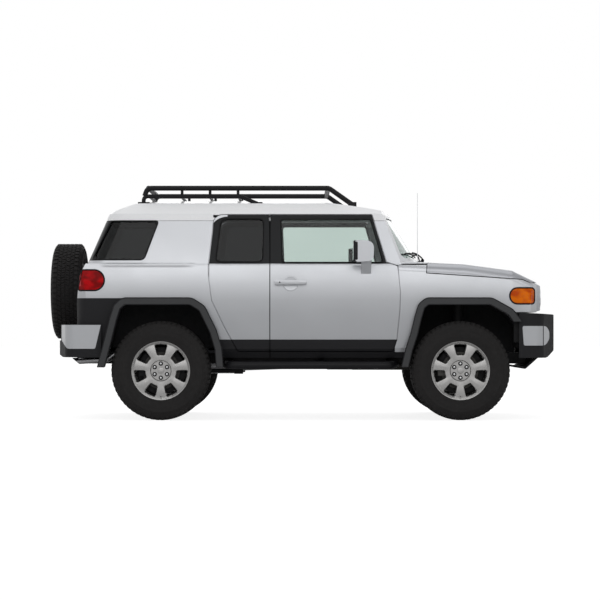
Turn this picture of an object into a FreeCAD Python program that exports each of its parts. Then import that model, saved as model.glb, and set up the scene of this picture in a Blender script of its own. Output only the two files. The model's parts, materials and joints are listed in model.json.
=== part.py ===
import FreeCAD, Part
import math
import os
import re
import Sketcher
from FreeCAD import Placement, Rotation, Vector

# A lifted off-road 4x4 with a boxy two-tone cab, an upright windscreen and its spare wheel on the tailgate.
# +X is forward, +Y is the left-hand side and +Z is up.
# The origin is on the ground, under the middle of the overall box.

doc = FreeCAD.newDocument("OffRoader")
sheet = doc.addObject("Spreadsheet::Sheet", "Sizes")

# Driving sizes in millimetres and degrees.
SIZES = {
    # overall
    "wheelbase": 2690,
    "front_overhang": 909,
    "rear_overhang": 1053.5,
    "track": 1605,
    "body_height": 1565,
    "body_half_width": 889,
    # wheels and tyres
    "tyre_diameter": 890,
    "tyre_width": 285,
    "tread_width": 228,
    "bulge_depth": 100,
    "rim_diameter": 526,
    "rim_width": 236,
    "rim_wall": 11,
    "rim_well_depth": 24,
    "spoke_inset": 24,
    "spoke_thickness": 30,
    "spoke_count": 7,
    "window_inner_radius": 131,
    "window_outer_radius": 229,
    "window_inner_half_width": 33,
    "window_outer_half_width": 58,
    "hub_radius": 97,
    "centre_cap_radius": 33,
    "centre_cap_rise": 9,
    "disc_radius": 168,
    "disc_thickness": 28,
    "hub_barrel_radius": 62,
    "bearing_radius": 30,
    "bearing_depth": 40,
    "bearing_clearance": 0.4,
    "steer_offset": 82.5,
    "wheel_free_gap": 5,
    # walls, seams and gaps
    "side_wall": 92,
    "frame_wall": 46,
    "outer_skin": 28,
    "sill_depth": 40,
    "plan_corner": 150,
    "corner_radius": 20,
    "seat_back": 120,
    "column_radius": 26,
    "column_gap": 15.4,
    "arm_drop": 95,
    "bracket_length": 80,
    "bumper_bracket": 40,
    "ball_spread": 150,
    "ball_radius": 20,
    "caliper_wall": 20,
    "hub_barrel_length": 70,
    "link_radius": 18,
    "damper_radius": 24,
    "front_diff_radius": 95,
    "half_shaft_radius": 16,
    "rack_radius": 22,
    "steering_arm": 150,
    "exhaust_bend": 90,
    "step_bend": 90,
    "rack_bend": 70,
    "handle_radius": 13,
    "aerial_base": 40,
    "lamp_inset": 6,
    "grille_bars": 4,
    "grille_slot": 22,
    "bumper_wall": 24,
    "liner_thickness": 6,
    "bonnet_drop": 105,
    "bonnet_crown": 18,
    "panel_gap": 8,
    "jamb_overlap": 24,
    "seal_gap": 6,
    "stop_fit": 0.3,
    "wing_skin": 22,
    "bonnet_skin": 26,
    "glass_thickness": 5,
    "glass_inset": 10,
    "door_tilt": 4,
    "cut_overrun": 80,
    # chassis
    "rail_offset": 355,
    "rail_width": 76,
    "rail_height": 100,
    "floor_thickness": 25,
    "axle_tube_radius": 45,
    "axle_housing_radius": 140,
    "spring_radius": 58,
    "arm_width": 60,
    "arm_thickness": 30,
    "prop_shaft_radius": 38,
    # equipment
    "rack_tube_radius": 23,
    "rack_bar_radius": 13,
    "step_tube_radius": 36,
    "exhaust_radius": 30,
    "muffler_radius": 95,
    "lamp_radius": 92,
    "aerial_radius": 3,
    "wheel_ring_radius": 185,
    "wheel_ring_tube": 15,
    "flare_width": 60,
    "flare_reach": 68,
}

for row, (alias, value) in enumerate(SIZES.items(), start=1):
    sheet.set(f"A{row}", alias)
    sheet.set(f"B{row}", str(value))
    sheet.setAlias(f"B{row}", alias)
doc.recompute()


class SheetReader:
    """Reads a driving size from the spreadsheet by its alias."""

    def __getattr__(self, alias):
        return float(sheet.get(alias))


size = SheetReader()
SIDES = {"right": -1, "left": 1}
AXES = {"x": (1, 0, 0), "y": (0, 1, 0), "z": (0, 0, 1)}
NODES = {}

# Main stations. The front overhang runs ahead of the front axle, the rear one behind the rear axle.
MIDDLE = (size.rear_overhang - size.front_overhang) / 2
FRONT_AXLE = MIDDLE + size.wheelbase / 2
REAR_AXLE = MIDDLE - size.wheelbase / 2
AXLE_HEIGHT = size.tyre_diameter / 2


def along(share):
    """Station along the car, as a share of the wheelbase from its middle."""
    return MIDDLE + share * size.wheelbase


def nose(share):
    """Station ahead of the front axle, as a share of the front overhang."""
    return FRONT_AXLE + share * size.front_overhang


def tail(share):
    """Station behind the rear axle, as a share of the rear overhang."""
    return REAR_AXLE - share * size.rear_overhang


def up(share):
    """Height as a share of the body height over the axles."""
    return AXLE_HEIGHT + share * size.body_height


def out(share):
    """Distance from the middle plane as a share of the body's half width."""
    return share * size.body_half_width


def rise(share):
    """A difference in height as a share of the body height."""
    return share * size.body_height


def corner(share):
    """The radius of an outline's rounded corner, as a share of the usual one."""
    return share * size.corner_radius


def point(plane, first, second, level=0.0):
    """A point from two coordinates in a named plane and the level across it."""
    return {
        "side": Vector(first, level, second),
        "plan": Vector(first, second, level),
        "section": Vector(level, first, second),
    }[plane]


def outline(plane, points, level=0.0):
    """A closed wire. A third value rounds a corner, and "via" bends the line through a point."""
    count = len(points)
    corners = [point(plane, item[0], item[1], level) for item in points]
    starts, ends, arcs = list(corners), list(corners), {}
    for index, item in enumerate(points):
        if len(item) < 3 or item[2] == "via" or item[2] <= 0:
            continue
        corner = corners[index]
        back = corners[index - 1] - corner
        ahead = corners[(index + 1) % count] - corner
        half = back.getAngle(ahead) / 2
        reach = min(item[2] / math.tan(half), back.Length / 2.05, ahead.Length / 2.05)
        radius = reach * math.tan(half)
        starts[index] = corner + back * (reach / back.Length)
        ends[index] = corner + ahead * (reach / ahead.Length)
        middle = back.normalize() + ahead.normalize()
        middle = middle.normalize() * (radius / math.sin(half) - radius)
        arcs[index] = corner + middle
    edges = []
    for index, item in enumerate(points):
        after = (index + 1) % count
        if index in arcs:
            edges.append(Part.Arc(starts[index], arcs[index], ends[index]).toShape())
        if len(item) > 2 and item[2] == "via":
            continue
        if len(points[after]) > 2 and points[after][2] == "via":
            goal = (index + 2) % count
            edges.append(Part.Arc(ends[index], corners[after], starts[goal]).toShape())
        elif (starts[after] - ends[index]).Length > 1e-6:
            edges.append(Part.LineSegment(ends[index], starts[after]).toShape())
    return Part.Wire(edges)


def prism(plane, points, low, high):
    """An outline pushed across its plane from one level to another."""
    face = Part.Face(outline(plane, points, low))
    return face.extrude(point(plane, 0.0, 0.0, high - low))


def block(low, high):
    """A box between two corners."""
    span = Vector(*high) - Vector(*low)
    return Part.makeBox(span.x, span.y, span.z, Vector(*low))


def tube(start, end, radius):
    """A round bar between two points."""
    run = Vector(*end) - Vector(*start)
    return Part.makeCylinder(radius, run.Length, Vector(*start), run)


def bent_tube(route, radius, bend):
    """A round bar along straight runs joined by tangent arcs of one bend radius."""
    corners = [Vector(*item) for item in route]
    edges = []
    last = corners[0]
    for index in range(1, len(corners) - 1):
        corner = corners[index]
        back = (corners[index - 1] - corner)
        ahead = (corners[index + 1] - corner)
        half = back.getAngle(ahead) / 2
        reach = min(bend / math.tan(half), back.Length / 2.1, ahead.Length / 2.1)
        curve = reach * math.tan(half)
        first = corner + back * (reach / back.Length)
        second = corner + ahead * (reach / ahead.Length)
        middle = back.normalize() + ahead.normalize()
        middle = corner + middle.normalize() * (curve / math.sin(half) - curve)
        edges.append(Part.LineSegment(last, first).toShape())
        edges.append(Part.Arc(first, middle, second).toShape())
        last = second
    edges.append(Part.LineSegment(last, corners[-1]).toShape())
    path = Part.Wire(edges)
    ring = Part.Wire(Part.Circle(corners[0], corners[1] - corners[0], radius).toShape())
    return path.makePipeShell([ring], True, False)


def mirrored(shape):
    """The same shape on the other side of the middle plane."""
    return shape.mirror(Vector(0, 0, 0), Vector(0, 1, 0))


def both_sides(shape):
    """A shape and its mirror image as one set."""
    return [shape, mirrored(shape)]


def fused(shapes):
    """One shape from several, with the seams inside flat faces taken out."""
    first, rest = shapes[0], shapes[1:]
    joined = first.fuse(rest) if rest else first
    return joined.removeSplitter()


def add_node(label, shape):
    """A sub-part whose form comes from profiles that meet, kept under its own label."""
    item = doc.addObject("Part::Feature", label)
    item.Label = label
    item.Shape = shape
    item.Placement = Placement()
    NODES[label] = item
    return item


STATION_FORMULAS = {
    "along": "((rear_overhang - front_overhang) / 2 + {} * wheelbase)",
    "nose": "((rear_overhang - front_overhang) / 2 + wheelbase / 2 + {} * front_overhang)",
    "tail": "((rear_overhang - front_overhang) / 2 - wheelbase / 2 - {} * rear_overhang)",
    "up": "(tyre_diameter / 2 + {} * body_height)",
    "out": "({} * body_half_width)",
}


def formula(text):
    """Turns station shares and the names of driving sizes in a formula into cells of the sheet."""
    for name, station in STATION_FORMULAS.items():
        text = re.sub(rf"\b{name}\(([-\d.]+)\)", lambda found: station.format(found.group(1)), text)
    return re.sub(r"[a-z_]+", lambda word: f"Sizes.{word.group()}"
                  if word.group() in SIZES else word.group(), text)


def bind(item, **formulas):
    """Binds properties of an object to formulas of the sheet."""
    for name, text in formulas.items():
        item.setExpression(name.replace("__", "."), formula(text))


def plane_of(body, role):
    """One of a body's own origin planes."""
    return next(item for item in body.Origin.OriginFeatures if item.Role == role)


def sketch_on(body, name, role, points):
    """A closed sketch whose corners are held by formulas of the sheet."""
    sketch = body.newObject("Sketcher::SketchObject", name)
    sketch.AttachmentSupport = [(plane_of(body, role), "")]
    sketch.MapMode = "FlatFace"
    values = [tuple(float(sheet_value(text)) for text in pair) for pair in points]
    count = len(points)
    for index in range(count):
        start = Vector(*values[index], 0)
        end = Vector(*values[(index + 1) % count], 0)
        sketch.addGeometry(Part.LineSegment(start, end), False)
    for index in range(count):
        sketch.addConstraint(Sketcher.Constraint("Coincident", index, 2, (index + 1) % count, 1))
    for index, pair in enumerate(points):
        for kind, axis, text, value in zip(("DistanceX", "DistanceY"), (-2, -1), pair, values[index]):
            if text == "0":
                sketch.addConstraint(Sketcher.Constraint("PointOnObject", index, 1, axis))
                continue
            row = sketch.addConstraint(Sketcher.Constraint(kind, -1, 1, index, 1, value))
            sketch.setExpression(f"Constraints[{row}]", formula(text))
    return sketch


def sheet_value(text):
    """The present value of a formula of the sheet."""
    return sheet.evalExpression(formula(text))


def sheet_box(name, low, high):
    """A box between two corners given as formulas of the sheet."""
    item = doc.addObject("Part::Box", name)
    spans = [f"({above}) - ({below})" for below, above in zip(low, high)]
    bind(item, Length=spans[0], Width=spans[1], Height=spans[2])
    bind(item, Placement__Base__x=low[0], Placement__Base__y=low[1], Placement__Base__z=low[2])
    return item


def sheet_bar(name, base, axis, radius, length):
    """A round bar along one axis, placed and sized by formulas of the sheet."""
    item = doc.addObject("Part::Cylinder", name)
    item.Placement = Placement(Vector(), Rotation(Vector(0, 0, 1), Vector(*AXES[axis])))
    bind(item, Radius=radius, Height=length)
    bind(item, Placement__Base__x=base[0], Placement__Base__y=base[1], Placement__Base__z=base[2])
    return item


def sheet_node(label, item):
    """Keeps a document object as the sub-part of its label."""
    item.Label = label
    NODES[label] = item
    return item


def sheet_fuse(label, items):
    """Primitives joined into one sub-part under its own label."""
    joined = doc.addObject("Part::MultiFuse", label)
    joined.Shapes = items
    joined.Refine = True
    return sheet_node(label, joined)


def sheet_body(label):
    """An empty body that becomes a node under its own label."""
    body = doc.addObject("PartDesign::Body", label)
    body.Label = label
    NODES[label] = body
    return body


def place_wheel(body, station, side, height="tyre_diameter / 2", spread="track / 2"):
    """Stands a wheel's body at a station, with its outer face turned away from the middle plane."""
    turn = Rotation(Vector(0, 0, 1), 0 if side > 0 else 180)
    body.Placement = Placement(Vector(), turn)
    bind(body, Placement__Base__x=station)
    bind(body, Placement__Base__y=f"{side} * ({spread})")
    bind(body, Placement__Base__z=height)


FRONT_STATION = "(rear_overhang - front_overhang) / 2 + wheelbase / 2"
REAR_STATION = "(rear_overhang - front_overhang) / 2 - wheelbase / 2"


# Wheels and tyres
def make_tyre(label, station, side, height="tyre_diameter / 2", spread="track / 2"):
    """A tyre turned from its section: beads on the rim, bulged walls and a flat tread out to the lugs' tips."""
    body = sheet_body(label)
    section = sketch_on(body, f"{label}_section", "XY_Plane", [
        ("rim_diameter / 2", "-rim_width / 2"),
        ("tyre_diameter / 2 - bulge_depth", "-tyre_width / 2"),
        ("tyre_diameter / 2", "-tread_width / 2"),
        ("tyre_diameter / 2", "tread_width / 2"),
        ("tyre_diameter / 2 - bulge_depth", "tyre_width / 2"),
        ("rim_diameter / 2", "rim_width / 2"),
    ])
    turned = body.newObject("PartDesign::Revolution", f"{label}_turned")
    turned.Profile = section
    turned.ReferenceAxis = (section, ["V_Axis"])
    turned.Angle = 360
    place_wheel(body, station, side, height, spread)
    return body


def make_rim(label, station, side, with_brake, height="tyre_diameter / 2", spread="track / 2"):
    """A cast wheel with its barrel, seven-spoke face and centre cap, on its hub and brake disc."""
    body = sheet_body(label)
    face = "rim_width / 2 - spoke_inset"
    back = "rim_width / 2 - spoke_inset - spoke_thickness"
    points = [
        ("0", f"{face} + centre_cap_rise"),
        ("centre_cap_radius", f"{face} + centre_cap_rise"),
        ("hub_radius", face),
        ("rim_diameter / 2 - rim_wall", face),
        ("rim_diameter / 2 - rim_wall / 2", "rim_width / 2"),
        ("rim_diameter / 2", "rim_width / 2"),
        ("rim_diameter / 2", "-rim_width / 2"),
        ("rim_diameter / 2 - rim_wall", "-rim_width / 2"),
        ("rim_diameter / 2 - rim_well_depth", back),
        ("hub_barrel_radius", back),
    ]
    if with_brake:
        points += [
            ("hub_barrel_radius", "disc_thickness"),
            ("disc_radius", "disc_thickness"),
            ("disc_radius", "0"),
            ("bearing_radius + bearing_clearance", "0"),
            ("bearing_radius + bearing_clearance", "bearing_depth"),
            ("0", "bearing_depth"),
        ]
    else:
        points += [("0", back)]
    section = sketch_on(body, f"{label}_section", "XY_Plane", points)
    turned = body.newObject("PartDesign::Revolution", f"{label}_turned")
    turned.Profile = section
    turned.ReferenceAxis = (section, ["V_Axis"])
    turned.Angle = 360
    window = sketch_on(body, f"{label}_window", "XZ_Plane", [
        ("-window_inner_half_width", "window_inner_radius"),
        ("window_inner_half_width", "window_inner_radius"),
        ("window_outer_half_width", "window_outer_radius"),
        ("-window_outer_half_width", "window_outer_radius"),
    ])
    window.setExpression("AttachmentOffset.Base.z", formula(f"-({face} + spoke_thickness)"))
    doc.recompute()
    cut = body.newObject("PartDesign::Pocket", f"{label}_window_cut")
    cut.Profile = window
    cut.Reversed = True
    bind(cut, Length="spoke_thickness * 2.2")
    windows = body.newObject("PartDesign::PolarPattern", f"{label}_windows")
    windows.Originals = [cut]
    windows.Axis = (section, ["V_Axis"])
    windows.Angle = 360
    bind(windows, Occurrences="spoke_count")
    body.Tip = windows
    place_wheel(body, station, side, height, spread)
    return body


WHEEL_PLACES = {"front_right": (FRONT_STATION, -1), "front_left": (FRONT_STATION, 1),
                "rear_right": (REAR_STATION, -1), "rear_left": (REAR_STATION, 1)}
for place, (station, side) in WHEEL_PLACES.items():
    make_tyre(f"tyre_{place}", station, side)
    make_rim(f"wheel_{place}", station, side, True)


# Outer forms of the body
def cab_lower(inset):
    """The cab below its belt: a plan with rounded rear corners met by a bulged cross-section."""
    plan = prism("plan", [
        (along(0.453), -out(1.0124)), (along(0.453), out(1.0124)),
        (tail(0.7276) + inset, out(1.0124), size.plan_corner),
        (tail(0.7276) + inset, -out(1.0124), size.plan_corner),
    ], up(-0.0927), up(0.6741))
    half = [
        (out(0.8999) - inset, up(0.0735) + (inset > 0) * size.sill_depth),
        (out(0.9696) - inset, up(0.1246)),
        (out(1) - inset, up(0.3546), "via"),
        (out(0.9809) - inset, up(0.5751)),
        (out(0.9741) - inset, up(0.6051)),
        (out(0.9516) - inset, up(0.616)),
    ]
    other = [(-item[0],) + tuple(item[1:]) for item in reversed(half)]
    section = prism("section", half + other, tail(0.8889), along(0.453))
    side = prism("side", [
        (along(0.453), up(-0.0927)), (along(0.453), up(0.6741)), (tail(0.6042) + inset, up(0.6741)),
        (tail(0.6934) + inset, up(0.5495)),
        (tail(0.7276) + inset, up(0.4121)), (tail(0.7276) + inset, up(-0.0927)),
    ], -out(1.1249), out(1.1249))
    return plan.common(section).common(side)


def greenhouse_ring(level, half, front_side, front_middle, rear, corner):
    """One level of the cab above its belt: a bowed windscreen line, sides and rounded rear corners."""
    return outline("plan", [
        (front_side, half), (front_middle, 0.0, "via"), (front_side, -half),
        (rear, -half, corner), (rear, half, corner),
    ], level)


def greenhouse(inset, front_shift):
    """The cab above its belt, drawn in towards the roof, with its raked and bowed windscreen."""
    corner = size.plan_corner - inset
    rings = [
        greenhouse_ring(up(0.6102), out(0.9539) - inset, along(0.3043) + front_shift,
                        along(0.3831) + front_shift,
                        tail(0.645) + inset, corner),
        greenhouse_ring(up(0.9054), out(0.829) - inset, along(0.2403) + front_shift,
                        along(0.2745) + front_shift,
                        tail(0.4637) + inset, corner),
    ]
    cap = [
        greenhouse_ring(up(0.9054), out(0.829) - inset, along(0.2403) + front_shift,
                        along(0.2745) + front_shift,
                        tail(0.4637) + inset, corner),
        greenhouse_ring(up(0.9693) - inset, out(0.7199) - inset, along(0.2299) + front_shift,
                        along(0.2597) + front_shift,
                        tail(0.3574) + inset, corner),
    ]
    sides = Part.makeLoft(rings, True, True)
    roof = Part.makeLoft(cap, True, True)
    crown_half = [(out(0.7199) - inset, up(0.9693) - inset - size.cut_overrun),
                  (out(0.7199) - inset, up(0.9693) - inset),
                  (0.0, up(1.0013) - inset, "via"), (-out(0.7199) + inset, up(0.9693) - inset),
                  (-out(0.7199) + inset, up(0.9693) - inset - size.cut_overrun)]
    crown = prism("section", crown_half, tail(0.3574) + inset, along(0.2262) + front_shift)
    return sides.fuse([roof, crown])


def roof_profile(inset):
    """The side view's roof line, over the whole width."""
    return prism("side", [
        (along(0.453), up(-0.0927)), (along(0.453), up(0.8019)),
        (along(0.2857), up(0.908) - inset), (along(0.0441), up(0.9757) - inset, "via"),
        (along(-0.2455), up(1.0006) - inset),
        (along(-0.4392), up(0.9955) - inset, "via"), (tail(0.2425), up(0.9649) - inset),
        (tail(0.4713) + inset, up(0.9093) - inset), (tail(0.5093), up(0.8658)),
        (tail(0.9839), up(0.6102)), (tail(0.9839), up(-0.0927)),
    ], -out(1.1249), out(1.1249))


def cab(side_inset, top_inset, front_shift):
    """The cab's whole form at a depth below its outer face."""
    upper = greenhouse(top_inset, front_shift).common(roof_profile(top_inset))
    return cab_lower(side_inset).fuse(upper)


CAB_OUTER = cab(0.0, 0.0, 0.0)
CAB_SKIN = cab(size.outer_skin, size.outer_skin, -size.outer_skin)
CAB_INNER = cab(size.side_wall, size.frame_wall, -size.frame_wall)
WALL = CAB_OUTER.cut(CAB_INNER)
SKIN = CAB_OUTER.cut(CAB_SKIN)
CORE = WALL.cut(SKIN)
DOOR_BACK = cab(size.outer_skin - size.seal_gap, size.outer_skin - size.seal_gap, -size.outer_skin)
DOOR_SKIN = CAB_OUTER.cut(DOOR_BACK)
DOOR_CORE = WALL.cut(DOOR_SKIN)
GLASS_FACE = cab(size.glass_inset, size.glass_inset, -size.glass_inset)
GLASS_BACK = cab(size.glass_inset + size.glass_thickness, size.glass_inset + size.glass_thickness,
                 -size.glass_inset - size.glass_thickness)
GLASS_LAYER = GLASS_FACE.cut(GLASS_BACK)


def front_section(station, half_width, top, inset):
    """One cross-section of the front end, from its sill to the crown of the bonnet."""
    half = [
        (half_width - out(0.0675) - inset, up(0.0735)),
        (half_width - out(0.0225) - inset, up(0.131)),
        (half_width - inset, up(0.3546), "via"),
        (half_width - out(0.0247) - inset, top - size.bonnet_drop - inset),
        (half_width - out(0.0585) - inset, top - size.bonnet_drop / 3 - inset, "via"),
        (half_width - out(0.1519) - inset, top - size.bonnet_crown - inset),
    ]
    other = [(-item[0],) + tuple(item[1:]) for item in reversed(half)]
    return outline("section", half + [(0.0, top - inset, "via")] + other, station)


def front_form(inset):
    """The form of wings and bonnet together, with a rounded nose in plan."""
    sections = [
        front_section(along(0.282), out(1), up(0.6415), inset),
        front_section(nose(0.0369), out(0.9944), up(0.623), inset),
        front_section(nose(0.5209), out(0.9809), up(0.5859), inset),
        front_section(nose(0.9609), out(0.9449), up(0.4633), inset),
    ]
    body = Part.makeLoft(sections, True, True)
    plan = prism("plan", [
        (along(0.2671), -out(1.0124)), (nose(0.6749), -out(1.0124)),
        (nose(0.7717) - inset, -out(0.8324)), (nose(0.8179) - inset, 0.0, "via"),
        (nose(0.7717) - inset, out(0.8324)), (nose(0.6749), out(1.0124)), (along(0.2671), out(1.0124)),
    ], up(-0.0927), up(0.738))
    side = prism("side", [
        (along(0.2671), up(0.0351)), (nose(0.9609), up(0.0351)), (nose(0.9609), up(0.2907)),
        (nose(0.8245) - inset, up(0.3546)),
        (nose(0.8135) - inset, up(0.4696)), (nose(0.7629) - inset, up(0.522) - inset),
        (nose(0.6089), up(0.623)), (nose(0.0809), up(0.738)),
        (along(0.2671), up(0.738)),
    ], -out(1.1249), out(1.1249))
    return body.common(plan).common(side)


FRONT_OUTER = front_form(0.0)
FRONT_INNER = front_form(size.wing_skin)
FRONT_WALL = FRONT_OUTER.cut(FRONT_INNER)

# Seams between the panels, seen from the side
DOOR_FRONT = [(along(0.2749), up(0.1125), corner(1)), (along(0.2868), up(0.1789)),
              (along(0.2968), up(0.3546)), (along(0.2983), up(0.4505)), (along(0.2901), up(0.6006)),
              (along(0.253), up(0.623)), (along(0.2061), up(0.899), corner(0.75))]
DOOR_SEAM = [(along(-0.1348), up(0.899)), (along(-0.1348), up(0.1125), corner(0.6))]
REAR_SEAM = [(along(-0.1348) - size.panel_gap, up(0.1125), corner(0.6)),
             (along(-0.1348) - size.panel_gap, up(0.899))]
REAR_BACK = [(along(-0.3247), up(0.899), corner(5.25)), (along(-0.3288), up(0.7955)),
             (along(-0.34), up(0.623)),
             (along(-0.3407), up(0.5489)), (along(-0.3292), up(0.4051)), (along(-0.2894), up(0.262)),
             (along(-0.2426), up(0.1125), corner(1))]
DOORS = {
    "front": DOOR_FRONT + DOOR_SEAM,
    "rear": REAR_SEAM + REAR_BACK,
}


def offset_prism(points, amount, low, high):
    """A side outline grown (or with a negative amount shrunk) by an even border and pushed across the car."""
    wire = outline("side", points, low)
    if amount:
        wire = wire.makeOffset2D(amount, 0, False, False, False)
    return Part.Face(wire).extrude(Vector(0, high - low, 0))


ARCHES = {
    "front": [(along(0.3247), up(0.016)), (along(0.3385), up(0.1182)), (along(0.3552), up(0.2051)),
              (along(0.3686), up(0.3022)), (along(0.3786), up(0.3597), corner(1.25)),
              (along(0.392), up(0.3796), corner(1.75)), (nose(0.2921), up(0.3796), corner(3)),
              (nose(0.4703), up(0.322), corner(3)), (nose(0.5649), up(0.246)),
              (nose(0.5759), up(0.016))],
    "rear": [(tail(0.4808), up(0.016)), (tail(0.4352), up(0.131)), (tail(0.3764), up(0.2907)),
             (tail(0.346), up(0.3546), corner(1.25)),
             (tail(0.3052), up(0.3796), corner(1.75)), (along(-0.402), up(0.3796), corner(3)),
             (along(-0.3704), up(0.345), corner(2.5)), (along(-0.3351), up(0.2204)),
             (along(-0.3184), up(0.1246)), (along(-0.3136), up(0.016))],
}


def arch_prism(name, grow, low, high):
    """A wheel arch's opening, grown by an even border and pushed across the car."""
    wire = outline("side", ARCHES[name], low)
    if grow:
        wire = wire.makeOffset2D(grow, 2, False, False, True)
    return Part.Face(wire).extrude(Vector(0, high - low, 0))


# Door and tailgate hinges
HINGES = {
    "front": (along(0.2994), -1),
    "rear": (along(-0.3422), 1),
}
HINGE_FOOT = up(0.3546)
HINGE_OUT = out(1.0045)


def hinge_line(name):
    """The foot and direction of a right-hand door's hinge line, leaning in towards the roof."""
    lean = math.radians(size.door_tilt)
    return Vector(HINGES[name][0], -HINGE_OUT, HINGE_FOOT), Vector(0, math.sin(lean), math.cos(lean))


def within_swing(shape, name, far_edge):
    """Trims a door to the cylinder that its free edge may sweep about the hinge line."""
    foot, line = hinge_line(name)
    reach = abs(far_edge - foot.x) + size.bearing_clearance * 5
    start = foot - line * up(0.9936)
    return shape.common(Part.makeCylinder(reach, up(0.9936) * 2, start, line))


GLASS_OUTLINES = {
    "front": [(along(-0.0976), up(0.8696), corner(1.25)), (along(0.1991), up(0.8696), corner(1)),
              (along(0.24), up(0.6262), corner(0.9)), (along(-0.0924), up(0.6262), corner(1.25))],
    "rear": [(along(-0.1597), up(0.8722), corner(1.25)), (along(-0.2987), up(0.8722), corner(3.5)),
             (along(-0.3165), up(0.63), corner(2)), (along(-0.1626), up(0.63), corner(1.25))],
    "quarter": [(tail(0.0346), up(0.8588), corner(1.5)), (tail(0.4333), up(0.8588), corner(1.25)),
                (tail(0.5852), up(0.6435), corner(1.5)), (tail(0.1561), up(0.6435), corner(2))],
}


def side_slab(points, amount=0.0):
    """A side outline pushed through the right-hand side wall."""
    return offset_prism(points, amount, -out(1.1249), -out(0.4499))


def make_door(name, far_edge):
    """A right-hand door: its outer layer laps over the jamb, its core is set back from the edges."""
    outer = DOOR_SKIN.common(side_slab(DOORS[name]))
    core = DOOR_CORE.common(side_slab(DOORS[name], -size.jamb_overlap))
    window = side_slab(GLASS_OUTLINES[name])
    return within_swing(outer.fuse(core).cut(window), name, far_edge)


def make_door_glass(name):
    """A right-hand door's window, seated in its opening."""
    return GLASS_LAYER.common(side_slab(GLASS_OUTLINES[name]))


FAR_EDGES = {"front": along(-0.1348), "rear": along(-0.1348) - size.panel_gap}
for name in DOORS:
    door = make_door(name, FAR_EDGES[name])
    glass = make_door_glass(name)
    add_node(f"{name}_door_right", door)
    add_node(f"{name}_door_left", mirrored(door))
    add_node(f"{name}_door_glass_right", glass)
    add_node(f"{name}_door_glass_left", mirrored(glass))

# Tailgate
GATE = [(-out(0.6322), up(0.1917), corner(2)), (out(0.6322), up(0.1917), corner(2)),
        (out(0.6322), up(0.6179), corner(1.5)), (-out(0.6322), up(0.6179), corner(1.5))]
GATE_GLASS = [(-out(0.6749), up(0.6473), corner(2)), (out(0.6749), up(0.6473), corner(2)),
              (out(0.6074), up(0.8543), corner(2)), (-out(0.6074), up(0.8543), corner(2))]
GATE_HINGE = (tail(0.7409), out(0.6479))


def gate_prism(points, amount):
    """A rear outline pushed through the rear wall."""
    wire = outline("section", points, tail(0.9364))
    if amount:
        wire = wire.makeOffset2D(amount, 0, False, False, False)
    return Part.Face(wire).extrude(Vector(tail(0.3194) - tail(0.9364), 0, 0))


gate = DOOR_SKIN.common(gate_prism(GATE,
                                   0.0)).fuse(DOOR_CORE.common(gate_prism(GATE, -size.jamb_overlap)))
gate_reach = GATE_HINGE[1] + out(0.6322) + size.bearing_clearance * 5
gate = gate.common(Part.makeCylinder(gate_reach, up(0.9936), Vector(GATE_HINGE[0], GATE_HINGE[1], 0)))
SPARE_HEIGHT = up(0.4645)
spare_middle = tail(1) + size.tyre_width / 2
spare_back = spare_middle - size.rim_width / 2 + size.spoke_inset + size.spoke_thickness
mount_plate = tube((tail(0.6801), 0, SPARE_HEIGHT), (tail(0.7409), 0, SPARE_HEIGHT),
                   size.hub_radius * 1.4)
mount_boss = tube((tail(0.6801), 0, SPARE_HEIGHT), (spare_back, 0, SPARE_HEIGHT), size.hub_barrel_radius)
add_node("tailgate", gate.fuse([mount_plate.cut(DOOR_BACK), mount_boss.cut(DOOR_BACK)]))
for label, make in (("spare_tyre", make_tyre), ("spare_wheel", make_rim)):
    station = "tail(1) + tyre_width / 2"
    height = "up(0.4645)"
    if label == "spare_tyre":
        spare = make_tyre(label, station, 1, height, "0")
    else:
        spare = make_rim(label, station, 1, False, height, "0")
    spare.Placement = Placement(spare.Placement.Base, Rotation(Vector(0, 0, 1), 90))


# Body shell, roof and glass
ROOF_SEAM = up(0.899)
SIDE_SPAN = (-out(1.1249), out(1.1249))

door_skin_gaps = [side_slab(points, size.panel_gap) for points in DOORS.values()]
door_core_gaps = [side_slab(points, size.panel_gap - size.jamb_overlap) for points in DOORS.values()]
quarter_hole = side_slab(GLASS_OUTLINES["quarter"])
WINDSCREEN = [(-out(0.8661), up(0.6498), corner(2.5)), (out(0.8661), up(0.6498), corner(2.5)),
              (out(0.7368), up(0.8824), corner(2.5)), (-out(0.7368), up(0.8824), corner(2.5))]


def screen_prism(points):
    """A windscreen outline pushed back through the front of the cab."""
    face = Part.Face(outline("section", points, along(0.1556)))
    return face.extrude(Vector(along(0.453) - along(0.1556), 0, 0))


def open_both(shape, cutters):
    """Cuts the same right-hand cutters and their mirror images out of a shape."""
    return shape.cut([piece for cutter in cutters for piece in both_sides(cutter)])


gate_skin_gap = gate_prism(GATE, size.panel_gap)
gate_core_gap = gate_prism(GATE, size.panel_gap - size.jamb_overlap)
rear_glass_hole = gate_prism(GATE_GLASS, 0.0)
screen_hole = screen_prism(WINDSCREEN)
cab_bottom = block((along(0.282), -out(1.1249), up(-0.1565)), (along(0.4901), out(1.1249), up(0.6077)))
rear_arch = [arch_prism("rear", 0.0, -out(1.1249), -out(0.6299))]
shell_skin = open_both(SKIN, door_skin_gaps + [quarter_hole] + rear_arch).cut([gate_skin_gap,
    rear_glass_hole, screen_hole])
shell_core = open_both(CORE, door_core_gaps + [quarter_hole] + rear_arch).cut([gate_core_gap,
    rear_glass_hole, screen_hole])
under_floor = block((tail(0.6402), -out(0.7874), up(0.0351)),
                    (along(0.453), out(0.7874), up(0.099) + size.floor_thickness))
behind_bumper = block((tail(0.794), -out(0.7424), up(-0.0288)), (tail(0.6402), out(0.7424), up(0.161)))
screen_foot = block((along(0.2968), -out(1.1249), up(0.6077)),
                    (along(0.4901), out(1.1249), up(0.6179))).cut(greenhouse(0.0, 0.0))
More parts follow.
